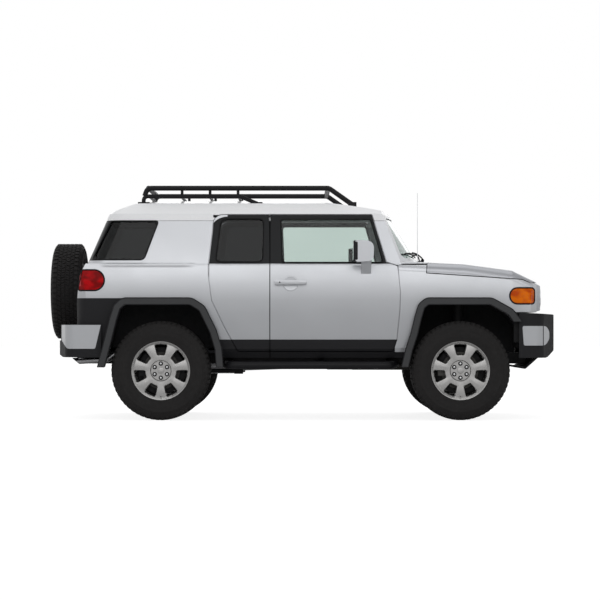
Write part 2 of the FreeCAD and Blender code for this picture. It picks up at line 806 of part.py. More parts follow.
shell = shell_skin.fuse(shell_core).cut([cab_bottom, under_floor, behind_bumper, screen_foot])
above_seam = block((tail(0.9839), -out(1.1249), ROOF_SEAM), (along(0.453), out(1.1249), up(1.0575)))
roof = shell.common(above_seam)
over_doors = block((along(-0.3247) - size.panel_gap, -out(1.1249), up(0.899) - size.jamb_overlap),
                   (along(0.2076), out(1.1249), ROOF_SEAM))
lower = shell.cut([above_seam, over_doors])
pillar = front_form(size.outer_skin).common(block((along(0.282), -out(1.1249), up(0.0735)),
                                                  (along(0.3225), out(1.1249), up(0.6077)))).cut(CAB_INNER)
pillar = open_both(pillar.cut(block((along(0.2671), -out(0.8324), up(0.0351)),
                                    (along(0.3414), out(0.8324), up(0.6422)))), door_core_gaps[:1])
TAIL_LAMP = [(tail(0.794), up(0.462)), (tail(0.4998), up(0.462), corner(4.4)),
             (tail(0.476), up(0.577), corner(4.4)), (tail(0.794), up(0.577))]
TAIL_LAMP_SPAN = (-out(1.1249), -out(0.7424))
tail_lamp_hole = offset_prism(TAIL_LAMP, 0.0, *TAIL_LAMP_SPAN)
tail_lamp = DOOR_SKIN.common(tail_lamp_hole)
# Rubber stops that the closed doors and tailgate rest against
stop_layer = cab(size.outer_skin - size.seal_gap + size.stop_fit,
                 size.outer_skin - size.seal_gap + size.stop_fit,
                 -size.outer_skin).cut(CAB_SKIN)
door_stops = []
for low, high in ((along(-0.153), along(-0.1437)), (along(-0.1288), along(-0.1195))):
    door_stops += both_sides(stop_layer.common(block((low, -out(1.1249), up(0.1137)),
                                                     (high, -out(0.7874), up(0.1208)))))
gate_stop = stop_layer.common(block((tail(0.794), -out(0.6277), up(0.3546)),
                                    (tail(0.6042), -out(0.6175), up(0.393))))
add_node("body_shell", lower.fuse([pillar, gate_stop] + door_stops).cut(both_sides(tail_lamp)))
add_node("tail_lamps", Part.makeCompound(both_sides(tail_lamp)))
add_node("roof_panel", roof)
windscreen = GLASS_LAYER.common(screen_hole)
add_node("windscreen", windscreen)
quarter_glass = GLASS_LAYER.common(quarter_hole)
rear_glass = GLASS_LAYER.common(rear_glass_hole)
add_node("fixed_rear_glass", Part.makeCompound(both_sides(quarter_glass) + [rear_glass]))

# Front end
KINGPIN_OUT = size.track / 2 - size.steer_offset
SWING_RADIUS = math.hypot(size.tyre_diameter / 2,
                          size.steer_offset + size.tread_width / 2) + size.wheel_free_gap
SWING_ROOM = both_sides(Part.makeSphere(SWING_RADIUS, Vector(FRONT_AXLE, KINGPIN_OUT, AXLE_HEIGHT)))
BONNET_REAR = along(0.3887)
BONNET_SIDE = [(BONNET_REAR, up(0.5636)), (along(0.3983), up(0.738)), (nose(0.9609), up(0.738)),
               (nose(0.9609), up(0.5054)), (nose(0.6969), up(0.508)),
               (nose(0.6199), up(0.5272))]
bonnet_cut = prism("side", BONNET_SIDE, *SIDE_SPAN)
bonnet_room = prism("side", [
    (BONNET_REAR - size.panel_gap, up(0.5636) - size.panel_gap),
    (along(0.3983) - size.panel_gap, up(0.7444)), (nose(0.9719), up(0.7444)),
    (nose(0.9719), up(0.5054) - size.panel_gap), (nose(0.6969), up(0.508) - size.panel_gap),
    (nose(0.6199), up(0.5272) - size.panel_gap),
], *SIDE_SPAN)
add_node("bonnet", FRONT_OUTER.cut(front_form(size.bonnet_skin)).common(bonnet_cut))
MASK_HALF = out(0.7762)
mask_room = block((nose(0.6199), -MASK_HALF, up(0.3419)), (nose(0.9609), MASK_HALF, up(0.5463)))
front_arch = arch_prism("front", 0.0, *SIDE_SPAN)
wing_low = block((along(0.2671), -out(1.1249), up(-0.0288)), (nose(0.9609), out(1.1249), up(0.1067)))
wing_front_low = block((nose(0.5154), -out(1.1249), up(-0.0288)), (nose(0.9609), out(1.1249), up(0.3367)))
wings = FRONT_WALL.cut([bonnet_room, mask_room, front_arch, wing_low,
                        wing_front_low] + both_sides(door_skin_gaps[0]))
cowl_zone = block((along(0.2671), -out(1.1249), up(0.5578)), (along(0.3983), out(1.1249), up(0.6741)))
wings = wings.cut([cowl_zone] + SWING_ROOM)
CORNER_LAMP = [(nose(0.7552), up(0.3853), corner(2)), (nose(0.4945), up(0.3853), corner(3.4)),
               (nose(0.4857), up(0.4741), corner(3.4)), (nose(0.7552), up(0.4741), corner(2))]
corner_lamp_hole = offset_prism(CORNER_LAMP, 0.0, -out(1.1249), -MASK_HALF)
corner_lamp = wings.common(corner_lamp_hole)
add_node("front_wings", wings.cut(both_sides(corner_lamp)))
add_node("corner_lamps", Part.makeCompound(both_sides(corner_lamp)))
cowl_cut = block((along(0.2901), -out(1.1249), up(0.5578)), (along(0.3983), out(1.1249), up(0.6741)))
cowl = FRONT_OUTER.common(cowl_cut).cut([bonnet_room, CAB_OUTER.cut(cab_bottom),
                                         CAB_INNER]).cut(both_sides(door_skin_gaps[0]))
cowl = cowl.cut(block((along(0.3061), -out(0.8549), up(0.4824)),
                      (along(0.3823), out(0.8549), up(0.6102))))
cowl = cowl.cut(FRONT_INNER.common(block((along(0.2671), -out(1.1249), up(0.4824)),
                                         (along(0.3225), out(1.1249), up(0.6077)))))
add_node("cowl_panel", cowl)


def mask_form(inset):
    """The front mask's outer form: a bowed plan with rounded ends, met by its rounded side view."""
    plan = prism("plan", [
        (nose(0.6859), -MASK_HALF), (nose(0.8157) - inset, -MASK_HALF, corner(2.25)),
        (nose(0.8377) - inset, 0.0, "via"),
        (nose(0.8157) - inset, MASK_HALF, corner(2.25)), (nose(0.6859), MASK_HALF),
    ], up(0.2907), up(0.5463))
    side = prism("side", [
        (nose(0.6859), up(0.3419)), (nose(0.8421) - inset, up(0.3419), corner(2.75)),
        (nose(0.8421) - inset, up(0.4965), corner(3.75)), (nose(0.6859), up(0.5003)),
    ], *SIDE_SPAN)
    return plan.common(side)


mask = mask_form(0.0)
LAMP_OUT = out(0.613)
LAMP_HEIGHT = up(0.4211)
lamp_bores = [tube((nose(0.7134), side * LAMP_OUT, LAMP_HEIGHT),
                   (nose(0.9609), side * LAMP_OUT, LAMP_HEIGHT), size.lamp_radius)
              for side in SIDES.values()]
GRILLE = [(-out(0.4668), up(0.3706), corner(2)), (out(0.4668), up(0.3706), corner(2)),
          (out(0.4668), up(0.4728), corner(2)), (-out(0.4668), up(0.4728), corner(2))]
grille_hole = Part.Face(outline("section", GRILLE,
                                nose(0.6309))).extrude(Vector(nose(0.9609) - nose(0.6309), 0, 0))
bonnet_stops = both_sides(block((nose(0.7541), -out(0.6862), up(0.4952)),
                                (nose(0.7673), -out(0.6637), up(0.5073) - size.stop_fit)))
add_node("front_mask", mask.cut(lamp_bores + [grille_hole]).fuse(bonnet_stops))
lamp_solids = []
for side in SIDES.values():
    body = tube((nose(0.7134), side * LAMP_OUT, LAMP_HEIGHT),
                (nose(0.9609), side * LAMP_OUT, LAMP_HEIGHT), size.lamp_radius)
    lamp_solids.append(body.common(mask_form(size.lamp_inset)))
add_node("headlamps", Part.makeCompound(lamp_solids))
grille = grille_hole.common(block((nose(0.7244), -out(0.5624), up(0.2907)),
                                  (nose(0.7794), out(0.5624), up(0.5463))))
slots = []
for index in range(int(size.grille_bars)):
    height = up(0.3706) + (index + 0.5) * (up(0.4728) - up(0.3706)) / size.grille_bars
    slots.append(block((nose(0.6309), -out(0.4331), height - size.grille_slot / 2),
                       (nose(0.8509), out(0.4331), height + size.grille_slot / 2)))
add_node("grille", grille.cut(slots))

# Bumpers
def bumper_form(inset):
    """The front bumper's outer form: a bowed plan met by its side view."""
    plan = prism("plan", [
        (nose(0.5209), -out(1.018) + inset), (nose(0.7959) - inset, -out(1.018) + inset, corner(4.5)),
        (nose(0.9444) - inset, -out(0.7874)),
        (nose(1) - inset, 0.0, "via"), (nose(0.9444) - inset, out(0.7874)),
        (nose(0.7959) - inset, out(1.018) - inset, corner(4.5)),
        (nose(0.5209), out(1.018) - inset),
    ], up(-0.0288), up(0.4185))
    side = prism("side", [
        (nose(0.5792), up(0.0735) + inset), (nose(0.8674) - inset, up(0.0735) + inset, corner(3)),
        (nose(1.005) - inset, up(0.145), corner(6.5)),
        (nose(1.005) - inset, up(0.3214), corner(4)), (nose(0.5792), up(0.3342) - inset),
    ], *SIDE_SPAN)
    return plan.common(side)


bumper = bumper_form(0.0).cut(bumper_form(size.bumper_wall)).cut(block((nose(0.4109), -out(0.9786),
    up(-0.0288)), (nose(0.8245), out(0.9786), up(0.4185))))
inlet = Part.Face(outline("section",
                          [(-out(0.4724), up(0.1565), corner(1.5)),
                           (out(0.4724), up(0.1565), corner(1.5)),
                           (out(0.5287), up(0.2588), corner(1.5)),
                           (-out(0.5287), up(0.2588), corner(1.5))],
                          nose(0.6309))).extrude(Vector(nose(1.071) - nose(0.6309), 0, 0))
FRONT_CAP = [(nose(0.6265), up(0.1444), corner(0.75)), (nose(0.8509), up(0.1444), corner(3)),
             (nose(0.8949), up(0.1821), corner(3)), (nose(0.8949), up(0.2268), corner(3)),
             (nose(0.8564), up(0.2562), corner(2.5)), (nose(0.6122), up(0.2562), corner(0.75))]
cap_hole = offset_prism(FRONT_CAP, 0.0, -out(1.1249), -out(0.8549))
front_cap = bumper.common(cap_hole)
bumper_pads = bumper_form(size.bumper_wall / 2).common(block(
    (nose(0.6749) + size.bumper_bracket + size.stop_fit, size.rail_offset - size.rail_width / 2,
     up(0.1054)),
    (nose(1.071), size.rail_offset + size.rail_width / 2, up(0.1502))))
valance = prism("side", [
    (nose(0.8289), up(0.0773)), (nose(0.6881), up(0.0045), corner(1)), (nose(0.5869), up(0.0134)),
    (nose(0.5869), up(0.0236)), (nose(0.6815), up(0.0153), corner(1)), (nose(0.8047), up(0.0799)),
], -out(0.5624), out(0.5624))
add_node("front_bumper", bumper.cut([inlet] + both_sides(cap_hole)).fuse(both_sides(bumper_pads)
    + [valance]))


def rear_bumper_form(inset):
    """The rear bumper's outer form."""
    plan = prism("plan", [
        (tail(0.5093), -out(1.018) + inset), (tail(0.8035) + inset, -out(1.018) + inset, corner(4.5)),
        (tail(0.8889) + inset, -out(0.7199)),
        (tail(0.9127) + inset, 0.0, "via"), (tail(0.8889) + inset, out(0.7199)),
        (tail(0.8035) + inset, out(1.018) - inset, corner(4.5)),
        (tail(0.5093), out(1.018) - inset),
    ], up(-0.0288), up(0.4185))
    side = prism("side", [
        (tail(0.5093), up(0.0767) + inset), (tail(0.851) + inset, up(0.0767) + inset, corner(1.5)),
        (tail(0.9459) + inset, up(0.1118), corner(1.5)),
        (tail(0.9459) + inset, up(0.2652) - inset), (tail(0.5093), up(0.2652) - inset),
    ], *SIDE_SPAN)
    return plan.common(side)


rear_bumper = rear_bumper_form(0.0).cut(rear_bumper_form(size.bumper_wall))
rear_bumper = rear_bumper.cut([block((tail(0.7333), -out(0.9786), up(-0.0288)),
                                     (tail(0.4143), out(0.9786), up(0.4185))), CAB_OUTER,
                               block((tail(0.9839), -out(0.7762), up(0.1719)),
                                     (tail(0.4143), out(0.7762), up(0.4185)))])
REAR_CAP = [(tail(0.8652), up(0.1725), corner(2)), (tail(0.7988), up(0.1259), corner(2)),
            (tail(0.5596), up(0.1259), corner(0.75)), (tail(0.5121), up(0.2626)),
            (tail(0.8652), up(0.2626))]
rear_cap_hole = offset_prism(REAR_CAP, 0.0, -out(1.1249), -out(0.7874))
rear_cap = rear_bumper.common(rear_cap_hole)
add_node("rear_bumper", rear_bumper.cut(both_sides(rear_cap_hole)))
add_node("bumper_caps", Part.makeCompound(both_sides(front_cap) + both_sides(rear_cap)))

# Wheel arch flares and liners
flares = []
liners = []
LINER_ROOM = {
    "front": [(along(0.3061), up(0.016)), (along(0.321), up(0.1182)), (along(0.3426), up(0.2051)),
              (along(0.3638), up(0.3022)), (along(0.3749), up(0.3642), corner(1.25)),
              (along(0.392), up(0.3796), corner(1.75)), (nose(0.2921), up(0.3796), corner(3)),
              (nose(0.4703), up(0.322), corner(3)), (nose(0.5649), up(0.246)),
              (nose(0.5759), up(0.016))],
    "rear": ARCHES["rear"],
}
flare_foot = block((nose(0.4989), 0, up(-0.0927)), (nose(0.9609), out(1.3498), up(0.2812)))
INNER_WALL = {"front": out(0.4781), "rear": out(0.6749)}
for name in ARCHES:
    ring = arch_prism(name, size.flare_width, out(0.8774),
                      out(1) + size.flare_reach).cut(arch_prism(name, 0.0, out(0.7874), out(1.2373)))
    ring = ring.cut([CAB_OUTER, FRONT_OUTER,
                     block((tail(0.9839), 0, up(-0.0927)), (nose(0.9609), out(1.3498), up(0.0211)))])
    ring = ring.cut([bumper_form(0.0), rear_bumper_form(0.0), flare_foot] + SWING_ROOM)
    ring = ring.common(block((tail(0.9839), out(0.9505), up(-0.0927)),
                             (nose(0.9609), out(1.3498), up(0.4824))))
    flares += both_sides(ring)
    span = (INNER_WALL[name], out(0.9505))
    room = Part.Face(outline("side", LINER_ROOM[name], INNER_WALL[name] - size.liner_thickness))
    grown = Part.Face(outline("side", LINER_ROOM[name],
                              INNER_WALL[name]).makeOffset2D(size.liner_thickness, 2, False, False, True))
    reach = Vector(0, out(0.9505) - INNER_WALL[name], 0)
    sheet_ring = grown.extrude(reach).cut(room.extrude(reach * 1.2))
    plate = grown.extrude(Vector(0, -size.liner_thickness, 0))
    liner = sheet_ring.fuse(plate).cut(block((tail(0.9839), 0, up(-0.0927)),
                                             (nose(0.9609), out(1.3498), up(0.131))))
    liners += both_sides(liner.cut([FRONT_WALL,
                                    WALL.cut(rear_arch).cut([item for item in both_sides(rear_arch[0])]),
                                    pillar]))
add_node("arch_flares", Part.makeCompound(flares))
add_node("arch_liners", Part.makeCompound(liners))

# Floor, firewall and cabin
floor_side = prism("side", [
    (along(0.2887), up(0.099)), (along(0.2968), up(0.099)), (along(0.2968), up(0.3942)),
    (along(0.3693), up(0.4249)), (along(0.3693), up(0.6102)), (along(0.3612), up(0.6102)),
    (along(0.3612), up(0.4351)), (along(0.2887), up(0.4045)),
    (along(0.2887), up(0.099) + size.floor_thickness),
    (along(-0.3463), up(0.099) + size.floor_thickness),
    (along(-0.3463), up(0.1629) + size.floor_thickness),
    (tail(0.6611), up(0.1629) + size.floor_thickness), (tail(0.6611), up(0.1629)),
    (along(-0.3463) - size.floor_thickness, up(0.1629)),
    (along(-0.3463) - size.floor_thickness, up(0.099)),
], *SIDE_SPAN)
well_cut = block((tail(0.4713), out(0.667), up(-0.0288)), (along(-0.3091), out(1.1249), up(0.4185)))
add_node("floor_pan", floor_side.common(CAB_INNER).cut(both_sides(well_cut)))

dash = prism("side", [
    (along(0.1779), up(0.3546), corner(1.5)), (along(0.1704), up(0.4696), corner(2)),
    (along(0.189), up(0.5527), corner(2.5)), (along(0.2671), up(0.5751), corner(1.5)),
    (along(0.2886), up(0.5655)),
    (along(0.2886), up(0.3546)),
], -out(0.8493), out(0.8493))
WHEEL_HUB = Vector(along(0.1277), out(0.4184), up(0.4856))
COLUMN = Vector(along(0.1277) - along(0.1779), 0, up(0.4856) - up(0.4473))
COLUMN_LINE = COLUMN * (1 / COLUMN.Length)
column_end = WHEEL_HUB - COLUMN_LINE * size.column_gap
column = Part.makeCylinder(size.column_radius,
                           (Vector(along(0.2002), out(0.4184), up(0.43)) - column_end).Length, column_end,
                           COLUMN_LINE * -1)
console = block((along(-0.0526), -out(0.1237), up(0.099) + size.floor_thickness),
                (along(0.1928), out(0.1237), up(0.2652)))
add_node("dashboard", dash.fuse([column, console]))


# Sizes of a seat's pieces as shares of its back's thickness
SEAT_SHARES = {"crease": 1.2, "rest_lean": 1.1, "rest_half": 0.9, "rest_depth": 0.7, "rest_height": 1.1}


def seat(low_y, high_y, front, back, floor, cushion, top, lean):
    """A seat on its base: cushion, leaning back and head rest."""
    shares = {name: share * size.seat_back for name, share in SEAT_SHARES.items()}
    side = prism("side", [
        (front, cushion - rise(0.0735), corner(1)), (front, cushion, corner(2)),
        (back + shares["crease"], cushion - rise(0.0192), 20),
        (back + size.seat_back - lean, top, corner(2)), (back - lean, top, corner(2)),
        (back, cushion - rise(0.0767), corner(2)),
    ], low_y, high_y)
    base = block((back + size.seat_back / 2, low_y + size.seat_back / 2, floor),
                 (front - size.seat_back / 2, high_y - size.seat_back / 2, cushion - rise(0.0351)))
    middle = (low_y + high_y) / 2
    rest_back = back - lean * SEAT_SHARES["rest_lean"]
    rest = block((rest_back, middle - shares["rest_half"], top),
                 (rest_back + shares["rest_depth"], middle + shares["rest_half"],
                  top + shares["rest_height"]))
    return side.fuse([base, rest])


FLOOR_TOP = up(0.099) + size.floor_thickness
front_seats = []
for side in SIDES.values():
    middle = side * out(0.4184)
    front_seats.append(seat(middle - out(0.2812), middle + out(0.2812), along(0.0924), along(-0.1009),
                            FLOOR_TOP, up(0.2971), up(0.6102), out(0.1237)))
add_node("front_seats", Part.makeCompound(front_seats))
bench = seat(-out(0.6299), out(0.6299), along(-0.205), along(-0.3872), FLOOR_TOP, up(0.3035), up(0.5911),
             out(0.1012))
add_node("rear_seat", bench.cut(NODES["floor_pan"].Shape))

# Chassis
rail_pieces = []
for side_name, side in SIDES.items():
    rail_pieces.append(sheet_box(f"rail_{side_name}",
                                 ("tail(0.7181)", f"{side} * rail_offset - rail_width / 2", "up(0.0351)"),
                                 ("nose(0.6969)", f"{side} * rail_offset + rail_width / 2",
                                  "up(0.0351) + rail_height")))
cross_pieces = []
for index, station in enumerate(("tail(0.6611)", "tail(0.2814)", "along(-0.2162)", "along(0.018)",
                                 "along(0.4864)", "nose(0.5869)")):
    cross_pieces.append(sheet_box(f"crossmember_{index + 1}",
                                  (station, "-(rail_offset - rail_width / 2)", "up(0.0639)"),
                                  (f"{station} + rail_width", "rail_offset - rail_width / 2",
                                   "up(0.0351) + rail_height")))
for side_name, side in SIDES.items():
    for end, station in (("front", "nose(0.0897)"), ("middle", "along(0.44)"),
                         ("rear", "along(-0.2608)")):
        rail_pieces.append(sheet_box(f"arm_bracket_{end}_{side_name}",
                                     (station, f"{side} * rail_offset - rail_width / 2",
                                      "up(0.0351) - arm_drop"),
                                     (f"{station} + bracket_length",
                                      f"{side} * rail_offset + rail_width / 2", "up(0.0351)")))
    for end, station in (("front", "nose(0.6749)"), ("rear", "tail(0.7466)")):
        rail_pieces.append(sheet_box(f"bumper_bracket_{end}_{side_name}",
                                     (station, f"{side} * rail_offset - rail_width / 2", "up(0.099)"),
                                     (f"{station} + bumper_bracket",
                                      f"{side} * rail_offset + rail_width / 2", "up(0.1565)")))
    rail_pieces.append(sheet_box(f"rack_bracket_{side_name}",
                                 ("nose(0.2349) - bumper_bracket / 2",
                                  f"{side} * rail_offset - bumper_bracket / 2",
                                  "up(0.0064) + rack_radius + stop_fit"),
                                 ("nose(0.2349) + bumper_bracket / 2",
                                  f"{side} * rail_offset + bumper_bracket / 2", "up(0.0351)")))
sheet_fuse("chassis_frame", rail_pieces)
sheet_fuse("crossmembers", cross_pieces)
sheet_node("engine_block", sheet_box("engine", ("along(0.3898)", "-out(0.2643)", "up(0.099)"),
                                     ("nose(0.2789)", "out(0.2643)", "up(0.4505)")))
drive_pieces = [
    sheet_box("bell_housing", ("along(0.3414)", "-out(0.2025)", "up(0.016)"),
              ("along(0.3898)", "out(0.2025)", "up(0.2588)")),
    sheet_box("gearbox", ("along(0.1481)", "-out(0.135)", "up(0.0128)"),
              ("along(0.3414)", "out(0.135)", "up(0.0958)")),
    sheet_box("transfer_case", ("along(0.0589)", "-out(0.225)", "up(-0.0032)"),
              ("along(0.1481)", "out(0.1012)", "up(0.0958)")),
]
drive_pieces.append(sheet_bar("front_prop_shaft", ("along(0.1444)", "-out(0.18)", "up(0.0192)"), "x",
                              "prop_shaft_radius", "along(0.453) - along(0.1444)"))
sheet_fuse("drivetrain", drive_pieces)
doc.recompute()
shaft = tube((along(0.063), 0, up(0.03)), (REAR_AXLE + size.axle_housing_radius * 0.8, 0, AXLE_HEIGHT),
             size.prop_shaft_radius)
housing = Part.makeSphere(size.axle_housing_radius, Vector(REAR_AXLE, 0, AXLE_HEIGHT))
add_node("rear_prop_shaft", shaft.cut([housing, NODES["drivetrain"].Shape]))
sheet_node("fuel_tank", sheet_box("tank",
                                  ("along(-0.2589)", "rail_offset + rail_width / 2 + seal_gap",
                                   "up(0.016)"),
                                  ("along(0.0032)", "out(0.7762)", "up(0.099)")))

# Axles, arms and brakes
HUB_FACE = size.track / 2 - size.bearing_clearance
LOWER_BALL = AXLE_HEIGHT - size.ball_spread
UPPER_BALL = AXLE_HEIGHT + size.ball_spread
BALL_FIT = size.ball_radius + size.bearing_clearance
# A caliper's half heights and its reach behind the disc as shares of its wall, and its reach towards the
# axle as a share of the disc's radius
CALIPER_SHARES = {"half_height": 2.4, "slot": 3, "behind": 1.6, "towards_axle": 0.66}


def caliper(station):
    """A left-hand brake caliper that straddles the disc behind the axle."""
    inner = size.track / 2 + size.bearing_clearance - size.wheel_free_gap
    outer = size.track / 2 + size.disc_thickness + size.wheel_free_gap
    wall = size.caliper_wall
    half = wall * CALIPER_SHARES["half_height"]
    slot_half = wall * CALIPER_SHARES["slot"]
    body = block((station - size.disc_radius - wall * CALIPER_SHARES["behind"], inner - wall,
                  AXLE_HEIGHT - half),
                 (station - size.disc_radius * CALIPER_SHARES["towards_axle"], outer + wall,
                  AXLE_HEIGHT + half))
    slot = block((station - size.disc_radius - size.wheel_free_gap, inner, AXLE_HEIGHT - slot_half),
                 (station, outer, AXLE_HEIGHT + slot_half))
    carrier = block((station - size.disc_radius, inner - wall, AXLE_HEIGHT - wall),
                    (station, inner, AXLE_HEIGHT + wall))
    return body.cut(slot).fuse(carrier)


def hub_stub(station):
    """A left-hand axle end: its barrel up to the hub's face and the stub that the hub turns on."""
    barrel = tube((station, HUB_FACE - size.hub_barrel_length, AXLE_HEIGHT),
                  (station, HUB_FACE, AXLE_HEIGHT), size.hub_barrel_radius)
    stub = tube((station, HUB_FACE - size.wheel_free_gap, AXLE_HEIGHT),
                (station, HUB_FACE + size.bearing_depth - size.bearing_clearance, AXLE_HEIGHT),
                size.bearing_radius)
    return barrel.fuse(stub)


rear_half = [hub_stub(REAR_AXLE), caliper(REAR_AXLE)]
axle_tube = tube((REAR_AXLE, -HUB_FACE + size.hub_barrel_length, AXLE_HEIGHT),
                 (REAR_AXLE, HUB_FACE - size.hub_barrel_length, AXLE_HEIGHT), size.axle_tube_radius)
link = tube((REAR_AXLE, out(0.6299), up(-0.0128)), (along(-0.2385), out(0.4162), up(-0.0032)),
            size.link_radius)
spring = tube((REAR_AXLE, out(0.5399), up(0.016)), (REAR_AXLE, out(0.5399), up(0.1629)),
              size.spring_radius)
damper = tube((tail(0.0346), out(0.6299), up(0)), (tail(0.1201), out(0.613), up(0.1629)),
              size.damper_radius)
damper = damper.common(block((tail(0.2245), 0, up(-0.0288)), (along(-0.4392), out(0.7874), up(0.1629))))
rear_half += [link, spring, damper]
axle = axle_tube.fuse([housing] + [item for piece in rear_half for item in both_sides(piece)])
CHASSIS = [NODES["chassis_frame"].Shape, NODES["crossmembers"].Shape]
add_node("rear_axle", axle.cut(CHASSIS))

lower_joint = Vector(FRONT_AXLE, KINGPIN_OUT, LOWER_BALL)
upper_joint = Vector(FRONT_AXLE, KINGPIN_OUT, UPPER_BALL)
arm_root = size.rail_offset + size.rail_width / 2 - size.link_radius
arms = []
for joint, height, spread in ((lower_joint, up(-0.0064), along(0.0496)),
                              (upper_joint, up(0.0735), along(0.037))):
    for direction in (-1, 1):
        root = (FRONT_AXLE + direction * (spread - MIDDLE), arm_root, height)
        arms.append(tube(root, tuple(joint), size.link_radius))
    arms.append(Part.makeSphere(size.ball_radius, joint))
tower_foot = Vector(FRONT_AXLE, out(0.6074), up(-0.0383))
strut = tube(tuple(tower_foot), (FRONT_AXLE, out(0.6074), up(0.3796)), size.damper_radius)
coil = tube((FRONT_AXLE, out(0.6074), up(0.1118)), (FRONT_AXLE, out(0.6074), up(0.3796)),
            size.spring_radius * 0.85)
cross = tube((along(0.453), out(0.6074), up(-0.0319)), (nose(0.1359), out(0.6074), up(-0.0319)),
             size.link_radius)
half = fused(arms + [strut, coil, cross])
front_diff = tube((FRONT_AXLE, -out(0.2137), up(0)), (FRONT_AXLE, out(0.2137), up(0)),
                  size.front_diff_radius)
half_shafts = tube((FRONT_AXLE, -out(0.6749), up(0)), (FRONT_AXLE, out(0.6749), up(0)),
                   size.half_shaft_radius)
suspension = fused([front_diff, half_shafts] + both_sides(half))
add_node("front_suspension", suspension.cut(CHASSIS))
sheet_node("steering_rack", sheet_bar("rack_bar", ("nose(0.2349)", "-out(0.4837)", "up(0.0064)"), "y",
                                      "rack_radius", "out(0.4837) * 2"))

for side_name, side in SIDES.items():
    post = block((FRONT_AXLE - size.arm_width / 2, KINGPIN_OUT + BALL_FIT, LOWER_BALL - size.ball_radius),
                 (FRONT_AXLE + size.arm_width / 2, KINGPIN_OUT + BALL_FIT + size.arm_thickness,
                  UPPER_BALL + size.ball_radius))
    steering_arm = block((FRONT_AXLE, KINGPIN_OUT + BALL_FIT, AXLE_HEIGHT - size.arm_thickness * 2),
                         (FRONT_AXLE + size.steering_arm,
                          KINGPIN_OUT + BALL_FIT + size.arm_thickness / 2,
                          AXLE_HEIGHT - size.arm_thickness))
    knuckle = fused([post, steering_arm, hub_stub(FRONT_AXLE), caliper(FRONT_AXLE)])
    add_node(f"knuckle_{side_name}", knuckle if side > 0 else mirrored(knuckle))

# Exhaust
pipe = bent_tube([(along(-0.3983), -out(0.225), up(0.0351)), (along(-0.4299), -out(0.2418), up(0.1278)),
                  (tail(0.1296), -out(0.2643), up(0.1323)),
                  (tail(0.3384), -out(0.6243), up(0.1323)), (tail(0.4713), -out(0.6749), up(0.0639)),
                  (tail(0.7845), -out(0.6862), up(0.0511))],
                 size.exhaust_radius, size.exhaust_bend)
tip_cut = prism("side", [
    (tail(0.794), up(-0.0032)), (tail(0.7181), up(-0.0032)),
    (tail(0.7181), up(0.0511) - size.exhaust_radius), (tail(0.7845), up(0.0511) + size.exhaust_radius),
    (tail(0.794), up(0.0511) + size.exhaust_radius),
], *SIDE_SPAN)
muffler = tube((along(-0.402), -out(0.225), up(0.0351)), (along(-0.2496), -out(0.225), up(0.0351)),
               size.muffler_radius)
down_pipe = bent_tube([(along(-0.2533), -out(0.225), up(0.0351)),
                       (along(-0.0675), -out(0.2418), up(0.0288)),
                       (along(0.018), -out(0.3037), up(0.0351)),
                       (along(0.3043), -out(0.315), up(0.0351))],
                      size.exhaust_radius, size.exhaust_bend)
hanger = block((along(-0.2069), -out(0.2475), up(0.0351)),
               (along(-0.1957), -out(0.2193), up(0.0639) - size.stop_fit))
add_node("exhaust", pipe.cut(tip_cut).fuse([muffler, down_pipe, hanger]))

# Side steps
step_tube = bent_tube([(along(-0.2905), out(0.8549), up(0.0383)),
                       (along(-0.2682), out(0.9955), up(0.0313)),
                       (along(0.2634), out(0.9955), up(0.0313)),
                       (along(0.2857), out(0.8549), up(0.0383))],
                      size.step_tube_radius, size.step_bend)
stays = [block((x, size.rail_offset + size.rail_width / 2, up(0.0383)),
               (x + size.arm_width, out(0.9786), up(0.0543)))
         for x in (along(-0.2868), along(0.0255), along(0.2559))]
steps = both_sides(step_tube.fuse(stays))
add_node("side_steps", Part.makeCompound(steps))

# Roof rack
rack_pieces = []
RACK_OUT = out(0.6862)
upper_rail = bent_tube([(tail(0.158), RACK_OUT, up(1.0128)), (tail(0.1343), RACK_OUT, up(1.0588)),
                        (along(0.0626), RACK_OUT, up(1.0588)), (along(0.1481), RACK_OUT, up(0.9553))],
                       size.rack_tube_radius, size.rack_bend)
lower_rail = bent_tube([(tail(0.1675), RACK_OUT, up(0.9617)), (tail(0.1656), RACK_OUT, up(1.0115)),
                        (along(-0.2385), RACK_OUT, up(1.0115)), (along(-0.179), RACK_OUT, up(0.9681))],
                       size.rack_tube_radius * 0.8, size.rack_bend)
rack_pieces += both_sides(upper_rail) + both_sides(lower_rail)
for x in (along(-0.4351), along(-0.3403), along(-0.2455)):
    rack_pieces += both_sides(tube((x, RACK_OUT, up(1.0064)), (x, RACK_OUT, up(1.0588)),
                                   size.rack_bar_radius))
for x in (tail(0.1201), along(-0.4392), along(-0.3426), along(-0.2441)):
    rack_pieces.append(tube((x, -RACK_OUT, up(1.0115)), (x, RACK_OUT, up(1.0115)), size.rack_bar_radius))
for x in (tail(0.1248), along(0.0589)):
    rack_pieces.append(tube((x, -RACK_OUT, up(1.0588)), (x, RACK_OUT, up(1.0588)), size.rack_tube_radius))
foot_pads = []
for low, high in ((tail(0.215), tail(0.1153)), (along(-0.1939), along(-0.1623)),
                  (along(0.1277), along(0.1556))):
    foot_pads += both_sides(block((low, RACK_OUT - size.rack_tube_radius, up(0.9297)),
                                  (high, RACK_OUT + size.rack_tube_radius, up(0.9776))))
add_node("roof_rack", rack_pieces[0].fuse(rack_pieces[1:] + foot_pads).cut(CAB_OUTER))

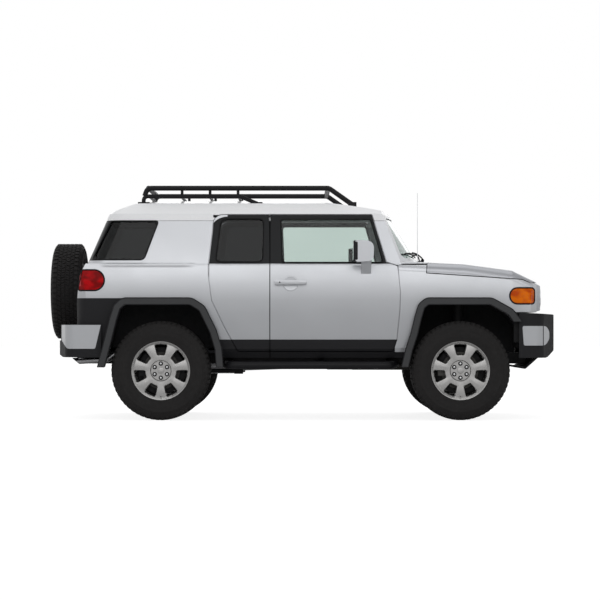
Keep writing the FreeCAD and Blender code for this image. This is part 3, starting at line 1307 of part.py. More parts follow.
# Mirrors, handles, aerial and steering wheel
shell_shape = prism("side", [(along(0.1429), up(0.6198), corner(2)),
                             (along(0.2076), up(0.6262), corner(2.5)),
                             (along(0.2087), up(0.738), corner(3)),
                             (along(0.1452), up(0.7457), corner(1.5))],
                    -out(1.2655), -out(1.0292))
arm = prism("section", [(-out(0.9561), up(0.5399), corner(0.5)), (-out(1.0799), up(0.6102), corner(0.5)),
                        (-out(1.1361), up(0.6358)), (-out(1.0461), up(0.6358)),
                        (-out(0.9561), up(0.5974), corner(0.5))],
            along(0.1686), along(0.202))
mirror = shell_shape.fuse(arm).cut(CAB_OUTER)
add_node("door_mirror_right", mirror)
add_node("door_mirror_left", mirrored(mirror))
grip = bent_tube([(along(-0.1139), -out(0.9786), up(0.5054)), (along(-0.1102), -out(1.0326), up(0.5054)),
                  (along(-0.0247), -out(1.0326), up(0.5054)), (along(-0.021), -out(0.9786), up(0.5054))],
                 size.handle_radius, size.handle_radius * 2)
handle = grip.cut(CAB_OUTER)
add_node("door_handle_right", handle)
add_node("door_handle_left", mirrored(handle))
mast = tube((along(0.3586), -out(0.8999), up(0.5655)), (along(0.3586), -out(0.8999), up(1.0224)),
            size.aerial_radius)
mast_base = Part.makeCone(size.aerial_radius * 5, size.aerial_radius * 2, size.aerial_base,
                          Vector(along(0.3586), -out(0.8999), up(0.5655)), Vector(0, 0, 1))
add_node("aerial", mast.fuse(mast_base).cut([FRONT_OUTER]))

wheel_turn = Rotation(Vector(0, 0, 1), COLUMN_LINE)
ring = doc.addObject("Part::Torus", "steering_ring")
bind(ring, Radius1="wheel_ring_radius", Radius2="wheel_ring_tube")
boss = doc.addObject("Part::Cylinder", "steering_boss")
bind(boss, Radius="wheel_ring_tube * 3", Height="wheel_ring_tube * 2",
     Placement__Base__z="-wheel_ring_tube")
spokes = []
for index in range(3):
    spoke = doc.addObject("Part::Box", f"steering_spoke_{index + 1}")
    bind(spoke, Length="wheel_ring_radius", Width="wheel_ring_tube * 2", Height="wheel_ring_tube")
    spoke.Placement = Placement(Vector(), Rotation(Vector(0, 0, 1), 180 - 90 * index)).multiply(
        Placement(Vector(0, -size.wheel_ring_tube, -size.wheel_ring_tube / 2), Rotation()))
    spokes.append(spoke)
steering = sheet_fuse("steering_wheel", [ring, boss] + spokes)
steering.Placement = Placement(WHEEL_HUB, wheel_turn)

# Checks and export
doc.recompute()
for item in doc.Objects:
    if "Invalid" in item.State or "Error" in item.State:
        raise RuntimeError(f"{item.Label} failed to build: {item.State}")
os.makedirs("parts", exist_ok=True)
for label, item in NODES.items():
    if item.Shape.isNull() or not item.Shape.isValid():
        raise RuntimeError(f"{label} has no valid shape")
for label, item in NODES.items():
    item.Shape.exportStep(f"parts/{label}.step")
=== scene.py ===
import json
import math

import bmesh
import bpy
from mathutils import Matrix, Vector
from mathutils.bvhtree import BVHTree


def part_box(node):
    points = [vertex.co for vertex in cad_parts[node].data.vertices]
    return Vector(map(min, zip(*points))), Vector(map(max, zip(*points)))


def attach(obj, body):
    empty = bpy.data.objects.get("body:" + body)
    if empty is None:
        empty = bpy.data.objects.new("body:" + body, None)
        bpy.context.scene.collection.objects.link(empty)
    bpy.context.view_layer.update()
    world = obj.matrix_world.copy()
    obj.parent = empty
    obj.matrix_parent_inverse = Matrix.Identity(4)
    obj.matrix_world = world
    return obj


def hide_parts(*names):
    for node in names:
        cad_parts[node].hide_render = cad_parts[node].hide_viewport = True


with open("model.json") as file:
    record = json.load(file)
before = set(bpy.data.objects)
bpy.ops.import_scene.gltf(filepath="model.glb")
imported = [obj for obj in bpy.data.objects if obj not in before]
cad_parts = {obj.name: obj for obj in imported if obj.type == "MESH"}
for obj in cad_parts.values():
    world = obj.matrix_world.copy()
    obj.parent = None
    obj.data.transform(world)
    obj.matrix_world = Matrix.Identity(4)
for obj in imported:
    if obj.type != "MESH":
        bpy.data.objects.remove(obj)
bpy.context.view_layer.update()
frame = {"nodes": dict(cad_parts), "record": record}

NODES = frame["nodes"]
SIDES = {"right": -1, "left": 1}


def box_of(node):
    """Low corner, high corner and middle of a CAD node."""
    low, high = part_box(node)
    return low, high, (low + high) / 2


# Colours as they are seen, turned into the renderer's own scale
def seen(red, green, blue):
    """A colour given in the usual 0 to 255 steps."""
    return tuple((value / 255) ** 2.2 for value in (red, green, blue)) + (1.0,)


def blend_colour(colour, share):
    """The same colour, lighter or darker by a share."""
    return tuple(min(1.0, value * share) for value in colour[:3]) + (1.0,)


SILVER = seen(198, 200, 204)
WHITE = seen(250, 251, 253)
BLACK_PLASTIC = seen(38, 38, 40)
BLACK_GLOSS = seen(30, 31, 33)
# Dark colour used as painted shade in door gaps
GAP_SHADE = seen(20, 20, 21)
RUBBER = seen(43, 42, 42)
STEEL = seen(150, 150, 152)
ALLOY = seen(166, 165, 164)
BLACK_COAT = seen(30, 30, 32)


class NodeTree:
    """Helpers that add nodes to a material or to the world."""

    def __init__(self, tree):
        self.tree = tree

    def add(self, kind, **settings):
        node = self.tree.nodes.new(kind)
        for key, value in settings.items():
            setattr(node, key, value)
        return node

    def link(self, start, end):
        self.tree.links.new(start, end)

    def give(self, socket, item):
        """Sets a socket to a constant, or links another node's socket to it."""
        if isinstance(item, bpy.types.NodeSocket):
            self.link(item, socket)
        else:
            socket.default_value = item

    def spread(self, value, low, high, start=0.3, end=0.7):
        """Maps a value from start..end to low..high."""
        node = self.add("ShaderNodeMapRange")
        node.inputs["From Min"].default_value = start
        node.inputs["From Max"].default_value = end
        node.inputs["To Min"].default_value = low
        node.inputs["To Max"].default_value = high
        self.link(value, node.inputs["Value"])
        return node.outputs["Result"]

    def math(self, operation, first, second=0.0):
        """A calculation with one or two values."""
        node = self.add("ShaderNodeMath", operation=operation)
        for socket, item in zip(node.inputs, (first, second)):
            self.give(socket, item)
        return node.outputs[0]

    def along(self, vector, letter):
        """One of the three values of a vector."""
        node = self.add("ShaderNodeSeparateXYZ")
        self.link(vector, node.inputs["Vector"])
        return node.outputs[letter]


class Material(NodeTree):
    """A node material with one main shader; helpers add noise, masks and bump."""

    def __init__(self, name, colour, rough=0.5, metal=0.0, coat=0.0, transmission=0.0, ior=1.5):
        self.material = bpy.data.materials.new(name)
        self.material.use_nodes = True
        super().__init__(self.material.node_tree)
        self.shader = self.tree.nodes["Principled BSDF"]
        self.constant("Metallic", metal)
        self.constant("Roughness", rough)
        self.constant("Coat Weight", coat)
        self.constant("Transmission Weight", transmission)
        self.constant("IOR", ior)
        self.constant("Base Color", colour)
        self.place = self.add("ShaderNodeTexCoord").outputs["Object"]
        self.colour = colour
        self.bump_out = None

    def constant(self, name, value):
        """Sets one of the shader's own values."""
        self.shader.inputs[name].default_value = value

    def show(self, colour):
        """Makes a socket the base colour."""
        self.link(colour, self.shader.inputs["Base Color"])
        self.base = colour

    def noise(self, scale, detail=3.0, stretch=(1, 1, 1)):
        """A noise value between 0 and 1 over the piece."""
        mapping = self.add("ShaderNodeMapping")
        mapping.inputs["Scale"].default_value = stretch
        self.link(self.place, mapping.inputs["Vector"])
        node = self.add("ShaderNodeTexNoise")
        node.inputs["Scale"].default_value = scale
        node.inputs["Detail"].default_value = detail
        self.link(mapping.outputs["Vector"], node.inputs["Vector"])
        return node.outputs["Fac"]

    def wave(self, direction, scale):
        """A wave value between 0 and 1 along an axis."""
        node = self.add("ShaderNodeTexWave", bands_direction=direction)
        node.inputs["Scale"].default_value = scale
        self.link(self.place, node.inputs["Vector"])
        return node.outputs["Fac"]

    def mix(self, factor, first, second, kind="RGBA", blend="MIX"):
        """A colour or value between two others, or their product."""
        node = self.add("ShaderNodeMix", data_type=kind, blend_type=blend)
        for name, item in (("Factor", factor), ("A", first), ("B", second)):
            self.give(node.inputs[name], item)
        return node.outputs["Result"]

    def vary(self, scale, amount):
        """Lets the colour wander a little over the piece."""
        factor = self.spread(self.noise(scale, 4.0), 0.0, 1.0)
        dark, light = (blend_colour(self.colour, share) for share in (1 - amount, 1 + amount))
        self.show(self.mix(factor, dark, light))

    def rough(self, scale, low, high, stretch=(1, 1, 1)):
        """Lets the roughness wander between two values."""
        self.link(self.spread(self.noise(scale, 3.0, stretch), low, high), self.shader.inputs["Roughness"])

    def bump(self, value, strength, distance):
        """Adds a bump from a value between 0 and 1."""
        node = self.add("ShaderNodeBump")
        node.inputs["Strength"].default_value = strength
        node.inputs["Distance"].default_value = distance
        self.link(value, node.inputs["Height"])
        if self.bump_out:
            self.link(self.bump_out, node.inputs["Normal"])
        self.bump_out = node.outputs["Normal"]
        self.link(self.bump_out, self.shader.inputs["Normal"])

    def axis(self, letter):
        """The place along one axis in the shared frame."""
        return self.along(self.place, letter)

    def above(self, letter, limit, soft=0.0015):
        """1 where the place along an axis is above the limit, 0 below it."""
        return self.spread(self.axis(letter), 0.0, 1.0, limit - soft, limit + soft)

    def below(self, letter, limit, soft=0.0015):
        """1 where the place along an axis is below the limit, 0 above it."""
        return self.math("SUBTRACT", 1.0, self.above(letter, limit, soft))

    def off(self, value, middle):
        """How far a value lies from a middle."""
        return self.math("ABSOLUTE", self.math("SUBTRACT", value, middle))

    def both(self, first, *others):
        """The share of a place that lies in all the masks."""
        for other in others:
            first = self.math("MULTIPLY", first, other)
        return first

    def diagonal(self, *values):
        """The length over two values, each counted only where it is above 0."""
        squares = []
        for value in values:
            value = self.math("MAXIMUM", 0.0, value)
            squares.append(self.math("MULTIPLY", value, value))
        return self.math("SQRT", self.math("ADD", *squares))

    def masked(self, mask, colour, rough, metal=0.0, coat=0.0):
        """Gives the masked area another colour, roughness, metal share and clear coat."""
        grain = self.spread(self.noise(900.0, 2.0), 0.85, 1.15)
        self.show(self.mix(mask, self.base, self.mix(1.0, colour, grain, blend="MULTIPLY")))
        for name, value in (("Roughness", rough), ("Metallic", metal), ("Coat Weight", coat)):
            socket = self.shader.inputs[name]
            before = socket.links[0].from_socket if socket.is_linked else socket.default_value
            self.link(self.mix(mask, before, value, kind="FLOAT"), socket)


PLASTIC_SHINE = 0.16
LENS_SHINE = 0.06
# Heights over which painted shade darkens the paint's lower part, standing in for the reflected ground
LOW_SHADE_FROM, LOW_SHADE_TO = 1.08, 1.32


def paint(name, colour, metal=0.55, low_shade_share=0.75):
    """Car paint with fine metal flake, a faint wave in its clear coat and painted shade that darkens its lower
    part, standing in for the reflected ground.
    """
    made = Material(name, colour, rough=0.34, metal=metal, coat=0.35)
    made.constant("Coat Roughness", 0.08)
    made.constant("Specular IOR Level", PLASTIC_SHINE)
    # Painted shade: darker towards the bottom
    lower = made.spread(made.axis("Z"), 1.0, 0.0, LOW_SHADE_FROM, LOW_SHADE_TO)
    base = made.mix(lower, colour, blend_colour(colour, low_shade_share))
    flake = made.spread(made.noise(1400.0, 2.0), 0.93, 1.07)
    made.show(made.mix(1.0, base, flake, blend="MULTIPLY"))
    made.rough(3.0, 0.28, 0.38)
    made.bump(made.noise(2.2, 2.0), 0.05, 0.004)
    return made


def middle_black(name, half, rough):
    """Silver paint with black plastic over the middle of the car's width."""
    made = paint(name, SILVER)
    made.masked(made.math("LESS_THAN", made.math("ABSOLUTE", made.axis("Y")), half), BLACK_PLASTIC, rough)
    return made


def plastic(name, colour, rough=0.55, grain=700.0, depth=0.0003, shine=PLASTIC_SHINE):
    """Moulded plastic with a fine leather-like grain and a little fading."""
    made = Material(name, colour, rough=rough)
    made.constant("Specular IOR Level", shine)
    made.vary(2.5, 0.12)
    made.rough(30.0, rough - 0.07, rough + 0.07)
    made.bump(made.noise(grain, 2.0), 0.35, depth)
    return made


def metal(name, colour, rough=0.3, brushed=(1, 1, 1), metal_share=1.0, vary=0.06):
    """Bare or painted metal with a fine brushed or cast grain."""
    made = Material(name, colour, rough=rough, metal=metal_share)
    made.vary(6.0, vary)
    made.rough(40.0, max(0.05, rough - 0.1), rough + 0.1, brushed)
    made.bump(made.noise(260.0, 3.0, brushed), 0.15, 0.0003)
    return made


def glass(name, colour, rough=0.02, ior=1.3):
    """Tinted safety glass with a slight wave."""
    made = Material(name, colour, rough=rough, transmission=1.0, ior=ior)
    made.vary(1.2, 0.03)
    made.bump(made.noise(1.5, 1.0), 0.03, 0.002)
    return made


def lens(name, colour, deep):
    """A moulded lamp lens with fine upright ribs and darker deep areas behind its clear coat."""
    made = Material(name, colour, rough=0.25, coat=0.06)
    made.constant("Coat Roughness", 0.03)
    made.constant("Specular IOR Level", LENS_SHINE)
    patches = made.spread(made.noise(9.0, 1.0, (1, 1, 1.8)), 0.0, 1.0, 0.40, 0.60)
    made.show(made.mix(patches, colour, deep))
    made.bump(made.wave("X", 28.0), 0.5, 0.003)
    return made


def fabric(name, colour):
    """Woven seat cloth: crossing threads with a little sheen."""
    made = Material(name, colour, rough=0.9)
    made.constant("Sheen Weight", 0.25)
    made.constant("Specular IOR Level", PLASTIC_SHINE)
    made.vary(40.0, 0.10)
    threads = [made.wave(direction, 140.0) for direction in "XYZ"]
    weave = made.both(made.math("ADD", threads[0], threads[1]), threads[2])
    made.bump(weave, 0.25, 0.0006)
    return made


silver = paint("silver_paint", SILVER)
white = paint("white_paint", WHITE, metal=0.0, low_shade_share=1.0)

# Doors: black frames above the belt, black cladding at the foot, and a rounded upper rear corner with a painted
# shade line along its arc for the gap
BELT = 1.407
CLADDING_TOP = 0.725
DOOR_ARC = 0.165
DOOR_ARC_X = -0.679
DOOR_ARC_Z = 1.668
ARC_LINE_HALF = 0.004
door = paint("door_paint", SILVER)
door.masked(door.above("Z", BELT), BLACK_GLOSS, 0.3)
reach = door.diagonal(door.math("SUBTRACT", DOOR_ARC_X, door.axis("X")),
                      door.math("SUBTRACT", door.axis("Z"), DOOR_ARC_Z))
behind_arc = door.math("LESS_THAN", door.axis("X"), DOOR_ARC_X)
door.masked(door.both(door.math("GREATER_THAN", reach, DOOR_ARC), behind_arc), SILVER, 0.34, 0.55, 0.35)
# Painted shade: a dark line along the arc, standing in for the shadow in the door's gap
on_arc = door.math("LESS_THAN", door.off(reach, DOOR_ARC), ARC_LINE_HALF)
door.masked(door.both(on_arc, behind_arc), GAP_SHADE, 0.6)
door.masked(door.below("Z", CLADDING_TOP), BLACK_PLASTIC, 0.55)

# Body shell: white above the roof line, a crease at the shoulder, black round the quarter glass and on the
# cladding, and painted shade on the pillar in the gap between the doors
ROOF_LINE = 1.797
ROOF_GAP = 0.004
CREASE_LOW, CREASE_HIGH = 1.388, 1.412
CREASE_REAR, CREASE_FRONT = -1.79, -1.02
QUARTER_SLANT = 0.3616
QUARTER_FOOT = -1.9455
QUARTER_MIDDLE = 1.620
QUARTER_HALF = 0.183
GLASS_CORNER = 0.036
SILL_EDGE = 1.097
REAR_CLADDING = -1.61
DOOR_GAP, GAP_HALF = -0.2944, 0.009
shell = paint("shell_paint", SILVER)
crease = shell.both(shell.above("Z", CREASE_LOW, 0.014), shell.below("Z", CREASE_HIGH, 0.004),
                    shell.above("X", CREASE_REAR, 0.03), shell.below("X", CREASE_FRONT, 0.06))
shell.bump(crease, 0.6, 0.012)
roof_side = shell.above("Z", ROOF_LINE)
shell.masked(roof_side, WHITE, 0.34, 0.05)
shell.masked(shell.both(roof_side, shell.below("Z", ROOF_LINE + ROOF_GAP)), seen(120, 121, 124), 0.5)
glass_edge = shell.math("ADD", shell.math("MULTIPLY", shell.axis("Z"), QUARTER_SLANT), QUARTER_FOOT)
from_edge = shell.math("SUBTRACT", glass_edge, shell.axis("X"))
reach = shell.diagonal(shell.math("SUBTRACT", GLASS_CORNER, from_edge),
                       shell.math("SUBTRACT", shell.off(shell.axis("Z"), QUARTER_MIDDLE),
                                  QUARTER_HALF - GLASS_CORNER))
shell.masked(shell.math("LESS_THAN", reach, GLASS_CORNER), BLACK_GLOSS, 0.25)
shell.masked(shell.both(shell.below("Z", SILL_EDGE), shell.below("X", REAR_CLADDING)), BLACK_PLASTIC, 0.55)
shell.masked(shell.below("Z", CLADDING_TOP), BLACK_PLASTIC, 0.55)
# Painted shade: the pillar seen through the gap between the doors is darkened
in_gap = shell.math("LESS_THAN", shell.off(shell.axis("X"), DOOR_GAP), GAP_HALF)
shell.masked(shell.both(in_gap, shell.below("Z", ROOF_LINE)), GAP_SHADE, 0.7)

# Bonnet: painted shade darkens its flanks, which face sideways, standing in for the darker reflection they show
FLANK_SHADE = (0.74, 0.74, 0.75, 1.0)
FLANK_FROM, FLANK_TO = 0.12, 0.5
bonnet_paint = paint("bonnet_paint", SILVER)
facing = bonnet_paint.along(bonnet_paint.add("ShaderNodeTexCoord").outputs["Normal"], "Y")
flank = bonnet_paint.spread(bonnet_paint.math("ABSOLUTE", facing), 0.0, 1.0, FLANK_FROM, FLANK_TO)
bonnet_paint.show(bonnet_paint.mix(flank, bonnet_paint.base, FLANK_SHADE, blend="MULTIPLY"))

# The other materials
cowl_paint = middle_black("cowl_paint", 0.70, 0.6)
mask_paint = middle_black("mask_paint", 0.66, 0.5)
black_trim = plastic("black_plastic", BLACK_PLASTIC)
soft_black = plastic("liner_plastic", seen(30, 30, 31), 0.75, 200.0, 0.001)
cabin_black = plastic("cabin_plastic", seen(52, 53, 56), 0.6, 500.0)
rubber = plastic("rubber", RUBBER, 0.72, 180.0, 0.0005)
rack_coat = plastic("rack_coat", BLACK_COAT, 0.42, 900.0, 0.0002)
# Lighter tread rubber: partly wear, partly a painted highlight standing in for the lit tread
worn_and_lit_rubber = plastic("worn_and_lit_rubber", seen(104, 103, 102), 0.8, 140.0, 0.0008)
flare_plastic = plastic("flare_plastic", seen(44, 45, 47), 0.4, shine=0.45)
frame_coat = plastic("frame_coat", seen(28, 28, 29), 0.6, 240.0, 0.0008)
alloy = Material("wheel_alloy", ALLOY, rough=0.3, metal=0.85, coat=0.3)
alloy.vary(5.0, 0.04)
alloy.rough(9.0, 0.24, 0.34)
alloy.bump(alloy.noise(30.0, 2.0), 0.04, 0.001)
# Painted shade for the walls of the wheel windows
window_shade = metal("wheel_window_shade", seen(84, 82, 80), 0.5, metal_share=0.6)
rim_lip = metal("wheel_rim_lip", seen(206, 206, 207), 0.22, metal_share=0.9, vary=0.03)
steel = metal("steel", STEEL, 0.3, (1, 12, 12))
cast = metal("cast_iron", seen(66, 65, 63), 0.6, metal_share=0.7, vary=0.2)
chrome = metal("polished_metal", seen(215, 216, 218), 0.12)
clear = glass("clear_glass", seen(214, 224, 220))
screen_glass = glass("windscreen_glass", seen(186, 198, 195))
tinted = glass("tinted_glass", seen(70, 73, 74))
cloth = fabric("seat_cloth", seen(62, 63, 66))
# Painted highlight: a pale pink band on the rearmost part of the red lens, standing in for light caught on the
# lens
LENS_HIGHLIGHT_FRONT = -1.999
LENS_HIGHLIGHT_LOW, LENS_HIGHLIGHT_HIGH = 1.205, 1.312
red_lens = lens("red_lens", seen(196, 8, 20), seen(132, 2, 8))
lens_highlight = red_lens.both(red_lens.math("LESS_THAN", red_lens.axis("X"), LENS_HIGHLIGHT_FRONT),
                          red_lens.above("Z", LENS_HIGHLIGHT_LOW, 0.004),
                          red_lens.below("Z", LENS_HIGHLIGHT_HIGH, 0.004))
red_lens.masked(lens_highlight, seen(208, 84, 90), 0.3)
amber_lens = lens("amber_lens", seen(246, 120, 4), seen(206, 78, 2))
lamp_lens = glass("lamp_lens", seen(240, 242, 243), 0.03, 1.45)
seat_black = plastic("nut_seat_black", seen(34, 34, 36), 0.5)
rubber_seal = plastic("rubber_seal", seen(22, 22, 23), 0.6, 300.0)
mirror_glass = metal("mirror_glass", seen(225, 228, 230), 0.03, vary=0.01)
lamp_core = plastic("lamp_core", seen(235, 232, 220), 0.3)
MATERIALS = {
    "silver_paint": silver, "white_paint": white, "black_plastic": black_trim, "floor_liner": soft_black,
    "rack_coat": rack_coat, "frame_coat": frame_coat, "cast_iron": cast, "steel": steel, "alloy": alloy,
    "tyre": rubber, "clear_glass": clear, "tinted_glass": tinted, "red_lens": red_lens,
    "amber_lens": amber_lens, "lamp_lens": lamp_lens, "cabin_plastic": cabin_black, "seat_cloth": cabin_black,
}
OWN_MATERIALS = {
    "body_shell": shell, "cowl_panel": cowl_paint, "front_mask": mask_paint, "windscreen": screen_glass,
    "aerial": chrome, "bonnet": bonnet_paint, "arch_flares": flare_plastic,
}
EDGE_ANGLE = math.radians(28)
for entry in frame["record"]["subparts"]:
    node = entry["node"]
    chosen = MATERIALS[entry["material_slot"]]
    if "door_right" in node or "door_left" in node:
        chosen = door
    chosen = OWN_MATERIALS.get(node, chosen)
    mesh = NODES[node].data
    mesh.materials.clear()
    mesh.materials.append(chosen.material)
    for polygon in mesh.polygons:
        polygon.use_smooth = True
    mesh.set_sharp_from_angle(angle=EDGE_ANGLE)


# Pieces
def finish_piece(name, made, material, body, sharp=35):
    """Names a mesh, gives it its material and lets it ride on a body."""
    thing = bpy.data.objects.new(name, made)
    bpy.context.scene.collection.objects.link(thing)
    made.materials.clear()
    made.materials.append(material.material)
    for polygon in made.polygons:
        polygon.use_smooth = True
    made.set_sharp_from_angle(angle=math.radians(sharp))
    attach(thing, body)
    return thing


def mesh_from(builder, mark=None):
    """A mesh from a bmesh that the builder fills; mark gives its faces their material numbers."""
    work = bmesh.new()
    builder(work)
    bmesh.ops.recalc_face_normals(work, faces=work.faces)
    if mark:
        for face in work.faces:
            mark(face)
    made = bpy.data.meshes.new("piece")
    work.to_mesh(made)
    work.free()
    return made


# Places along the car are measured from the middle between the axles
BASE = (box_of("tyre_front_right")[2].x + box_of("tyre_rear_right")[2].x) / 2


def ahead(distance):
    """A place along the car, ahead of the middle between the axles."""
    return BASE + distance


class Skin:
    """Finds points on the outside of some CAD nodes."""

    def __init__(self, *names):
        vertices, faces = [], []
        for name in names:
            start = len(vertices)
            vertices += [vertex.co.copy() for vertex in NODES[name].data.vertices]
            faces += [[start + index for index in polygon.vertices] for polygon in NODES[name].data.polygons]
        self.tree = BVHTree.FromPolygons(vertices, faces)

    def cast(self, start, direction):
        place, normal, _, _ = self.tree.ray_cast(Vector(start), Vector(direction))
        if place is None:
            return None
        if normal.dot(Vector(direction)) > 0:
            normal.negate()
        return place, normal

    def side(self, x, z, side=-1):
        return self.cast((x, side * 3.0, z), (0, -side, 0))

    def front(self, y, z):
        return self.cast((4.0, y, z), (-1, 0, 0))

    def rear(self, y, z):
        return self.cast((-4.0, y, z), (1, 0, 0))


def tube(name, points, radius, material, body, closed=False):
    """A round bar or strip along a row of points."""
    data = bpy.data.curves.new(name, "CURVE")
    data.dimensions = "3D"
    data.bevel_depth = radius
    data.bevel_resolution = 3
    data.use_fill_caps = True
    spline = data.splines.new("POLY")
    spline.points.add(len(points) - 1)
    for item, place in zip(spline.points, points):
        item.co = (*place, 1.0)
    spline.use_cyclic_u = closed
    thing = bpy.data.objects.new(name, data)
    bpy.context.scene.collection.objects.link(thing)
    data.materials.append(material.material)
    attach(thing, body)


def smooth_row(points, steps=6):
    """A row of points bent softly through the given ones."""
    rows = [Vector(point) for point in points]
    made = []
    for index in range(len(rows) - 1):
        before, start = rows[max(index - 1, 0)], rows[index]
        end, after = rows[index + 1], rows[min(index + 2, len(rows) - 1)]
        for step in range(steps):
            share = step / steps
            made.append(0.5 * ((2 * start) + (end - before) * share
                               + (2 * before - 5 * start + 4 * end - after) * share ** 2
                               + (3 * start - before - 3 * end + after) * share ** 3))
    return made + [rows[-1]]


def round_corners(points, radius, steps=5):
    """A closed flat outline with its corners rounded."""
    count = len(points)
    made = []
    for index in range(count):
        corner = Vector(points[index])
        back = Vector(points[index - 1]) - corner
        on = Vector(points[(index + 1) % count]) - corner
        reach = min(radius, back.length / 2.1, on.length / 2.1)
        start, end = corner + back.normalized() * reach, corner + on.normalized() * reach
        for step in range(steps + 1):
            share = step / steps
            made.append(start * (1 - share) ** 2 + corner * 2 * share * (1 - share) + end * share ** 2)
    return made


def box_outline(half_width, half_height):
    """The four corners of a rectangle about the middle."""
    return [(-half_width, -half_height), (half_width, -half_height),
            (half_width, half_height), (-half_width, half_height)]


def at_turn(radius, turn, height):
    """A point at a radius and an angle about the local Z axis."""
    return radius * math.cos(turn), radius * math.sin(turn), height


def lathe(work, profile, steps=64, matrix=Matrix.Identity(4), closed=False):
    """Turns a profile of (radius, along) about the local Z axis."""
    rings = []
    for radius, along in profile:
        ring = []
        for step in range(steps):
            angle = math.tau * step / steps
            ring.append(work.verts.new(matrix @ Vector(at_turn(radius, angle, along))))
        rings.append(ring)
    pairs = list(zip(rings, rings[1:])) + ([(rings[-1], rings[0])] if closed else [])
    for first, second in pairs:
        for step in range(steps):
            after = (step + 1) % steps
            work.faces.new((first[step], first[after], second[after], second[step]))
    if not closed:
        for ring in (rings[0], rings[-1]):
            work.faces.new(ring)


def turned(name, profile, place, direction, material, body, steps=48, closed=False, sharp=35):
    """A turned piece with its axis along a direction."""
    facing = Vector(direction).to_track_quat("Z", "Y").to_matrix().to_4x4()
    matrix = Matrix.Translation(Vector(place)) @ facing
    made = mesh_from(lambda work: lathe(work, profile, steps, matrix, closed))
    return finish_piece(name, made, material, body, sharp)


def slab(work, outline, low, high, bevel=0.0, matrix=Matrix.Identity(4)):
    """A flat outline (x, y) given a thickness, with softened edges."""
    bottom = [work.verts.new(Vector((x, y, low))) for x, y in outline]
    face = work.faces.new(bottom)
    lifted = bmesh.ops.extrude_face_region(work, geom=[face])
    top = [item for item in lifted["geom"] if isinstance(item, bmesh.types.BMVert)]
    bmesh.ops.translate(work, vec=(0, 0, high - low), verts=top)
    if bevel:
        edges = list({edge for vertex in bottom + top for edge in vertex.link_edges
                      if all(abs(item.co.z - vertex.co.z) < 1e-7 for item in edge.verts)})
        bmesh.ops.bevel(work, geom=edges, offset=bevel, segments=2, affect="EDGES", profile=0.6)
    bmesh.ops.transform(work, matrix=matrix, verts=work.verts)


def plate(name, outline, thickness, place, direction, material, body, bevel=0.002):
    """A flat piece that faces a direction, with its outline's second value pointing up."""
    face_out = Vector(direction).normalized()
    across = Vector((0, 0, 1)).cross(face_out).normalized()
    upward = face_out.cross(across)
    matrix = Matrix((across, upward, face_out)).transposed().to_4x4()
    matrix.translation = Vector(place)
    made = mesh_from(lambda work: slab(work, outline, 0.0, thickness, bevel, matrix))
    return finish_piece(name, made, material, body)


def soft_box(name, low, high, radius, material, body):
    """A box with well rounded edges."""
    def build(work):
        bmesh.ops.create_cube(work, size=1.0)
        span, middle = Vector(high) - Vector(low), (Vector(high) + Vector(low)) / 2
        for vertex in work.verts:
            vertex.co = Vector([vertex.co[axis] * span[axis] + middle[axis] for axis in range(3)])
        bmesh.ops.bevel(work, geom=work.edges[:], offset=radius, segments=3, affect="EDGES", profile=0.5)
    return finish_piece(name, mesh_from(build), material, body)


# Tyres
TYRE_RADIUS = (box_of("tyre_front_right")[1] - box_of("tyre_front_right")[0]).z / 2
TREAD_BASE = TYRE_RADIUS - 0.011
TREAD_FOOT = TREAD_BASE - 0.001
WALL_PROFILE = [
    (0.2640, 0.117), (0.272, 0.1225), (0.283, 0.1235), (0.287, 0.1255), (0.296, 0.1305), (0.318, 0.1375),
    (0.322, 0.1392), (0.345, 0.1415), (0.362, 0.1412), (0.364, 0.1422), (0.372, 0.1422), (0.374, 0.1408),
    (0.392, 0.1370), (0.408, 0.1310), (0.421, 0.1235), (0.429, 0.1150), (TREAD_FOOT, 0.104),
    (TREAD_BASE, 0.09),
]
PITCHES = 58
PITCH = math.tau / PITCHES
WORN_AND_LIT_FROM = 0.409
BLOCK_TAPER = 0.86
RIB_POINTS = [
    (0.378, 0.1398, -0.0016), (0.378, 0.1398, 0.0016), (0.398, 0.1362, 0.0016), (0.398, 0.1362, -0.0016),
]
RIB_RISE, RIB_SINK, RIB_FLARE = 0.0012, 0.002, 1.8


def close_block(work, foot, top):
    """The top and the four sides of a block."""
    work.faces.new(top)
    for index in range(4):
        after = (index + 1) % 4
        work.faces.new((foot[index], foot[after], top[after], top[index]))


def tread_block(work, angle, half_angle, y_low, y_high, skew):
    """One tread block: its foot on the carcass, its top a little smaller."""
    corners = []
    for radius, share in ((TREAD_FOOT, 1.0), (TYRE_RADIUS, BLOCK_TAPER)):
        middle_y, half_y = (y_low + y_high) / 2, (y_high - y_low) / 2 * share
        for across, along in ((-1, -1), (1, -1), (1, 1), (-1, 1)):
            turn = angle + half_angle * across * share + skew * along
            corners.append(work.verts.new(at_turn(radius, turn, middle_y + half_y * along)))
    close_block(work, corners[:4], corners[4:])


def shoulder_lug(work, angle, half_angle, side, long_lug):
    """A shoulder lug that runs over the edge of the tread and down the wall."""
    rows = [(TREAD_FOOT, 0.078), (TYRE_RADIUS, 0.080), (TYRE_RADIUS - 0.0005, 0.108), (0.433, 0.1185)]
    rows += [(0.420, 0.1290), (0.411, 0.1290)] if long_lug else [(0.426, 0.1245), (0.421, 0.1215)]
    rings = []
    for radius, y in rows:
        share = 0.88 if radius > TREAD_BASE + 0.005 else 1.0
        rings.append([work.verts.new(at_turn(radius, angle + half_angle * share * turn, side * y))
                      for turn in (-1, 1)])
    for first, second in zip(rings, rings[1:]):
        work.faces.new((first[0], first[1], second[1], second[0]))
    for turn in (0, 1):
        work.faces.new([ring[turn] for ring in rings])


def wall_rib(work, angle, side):
    """A small raised rib on the tyre's wall."""
    ring = [work.verts.new(at_turn(radius, angle + offset / radius, side * (y + RIB_RISE)))
            for radius, y, offset in RIB_POINTS]
    foot = [work.verts.new(at_turn(radius, angle + offset * RIB_FLARE / radius, side * (y - RIB_SINK)))
            for radius, y, offset in RIB_POINTS]
    close_block(work, foot, ring)


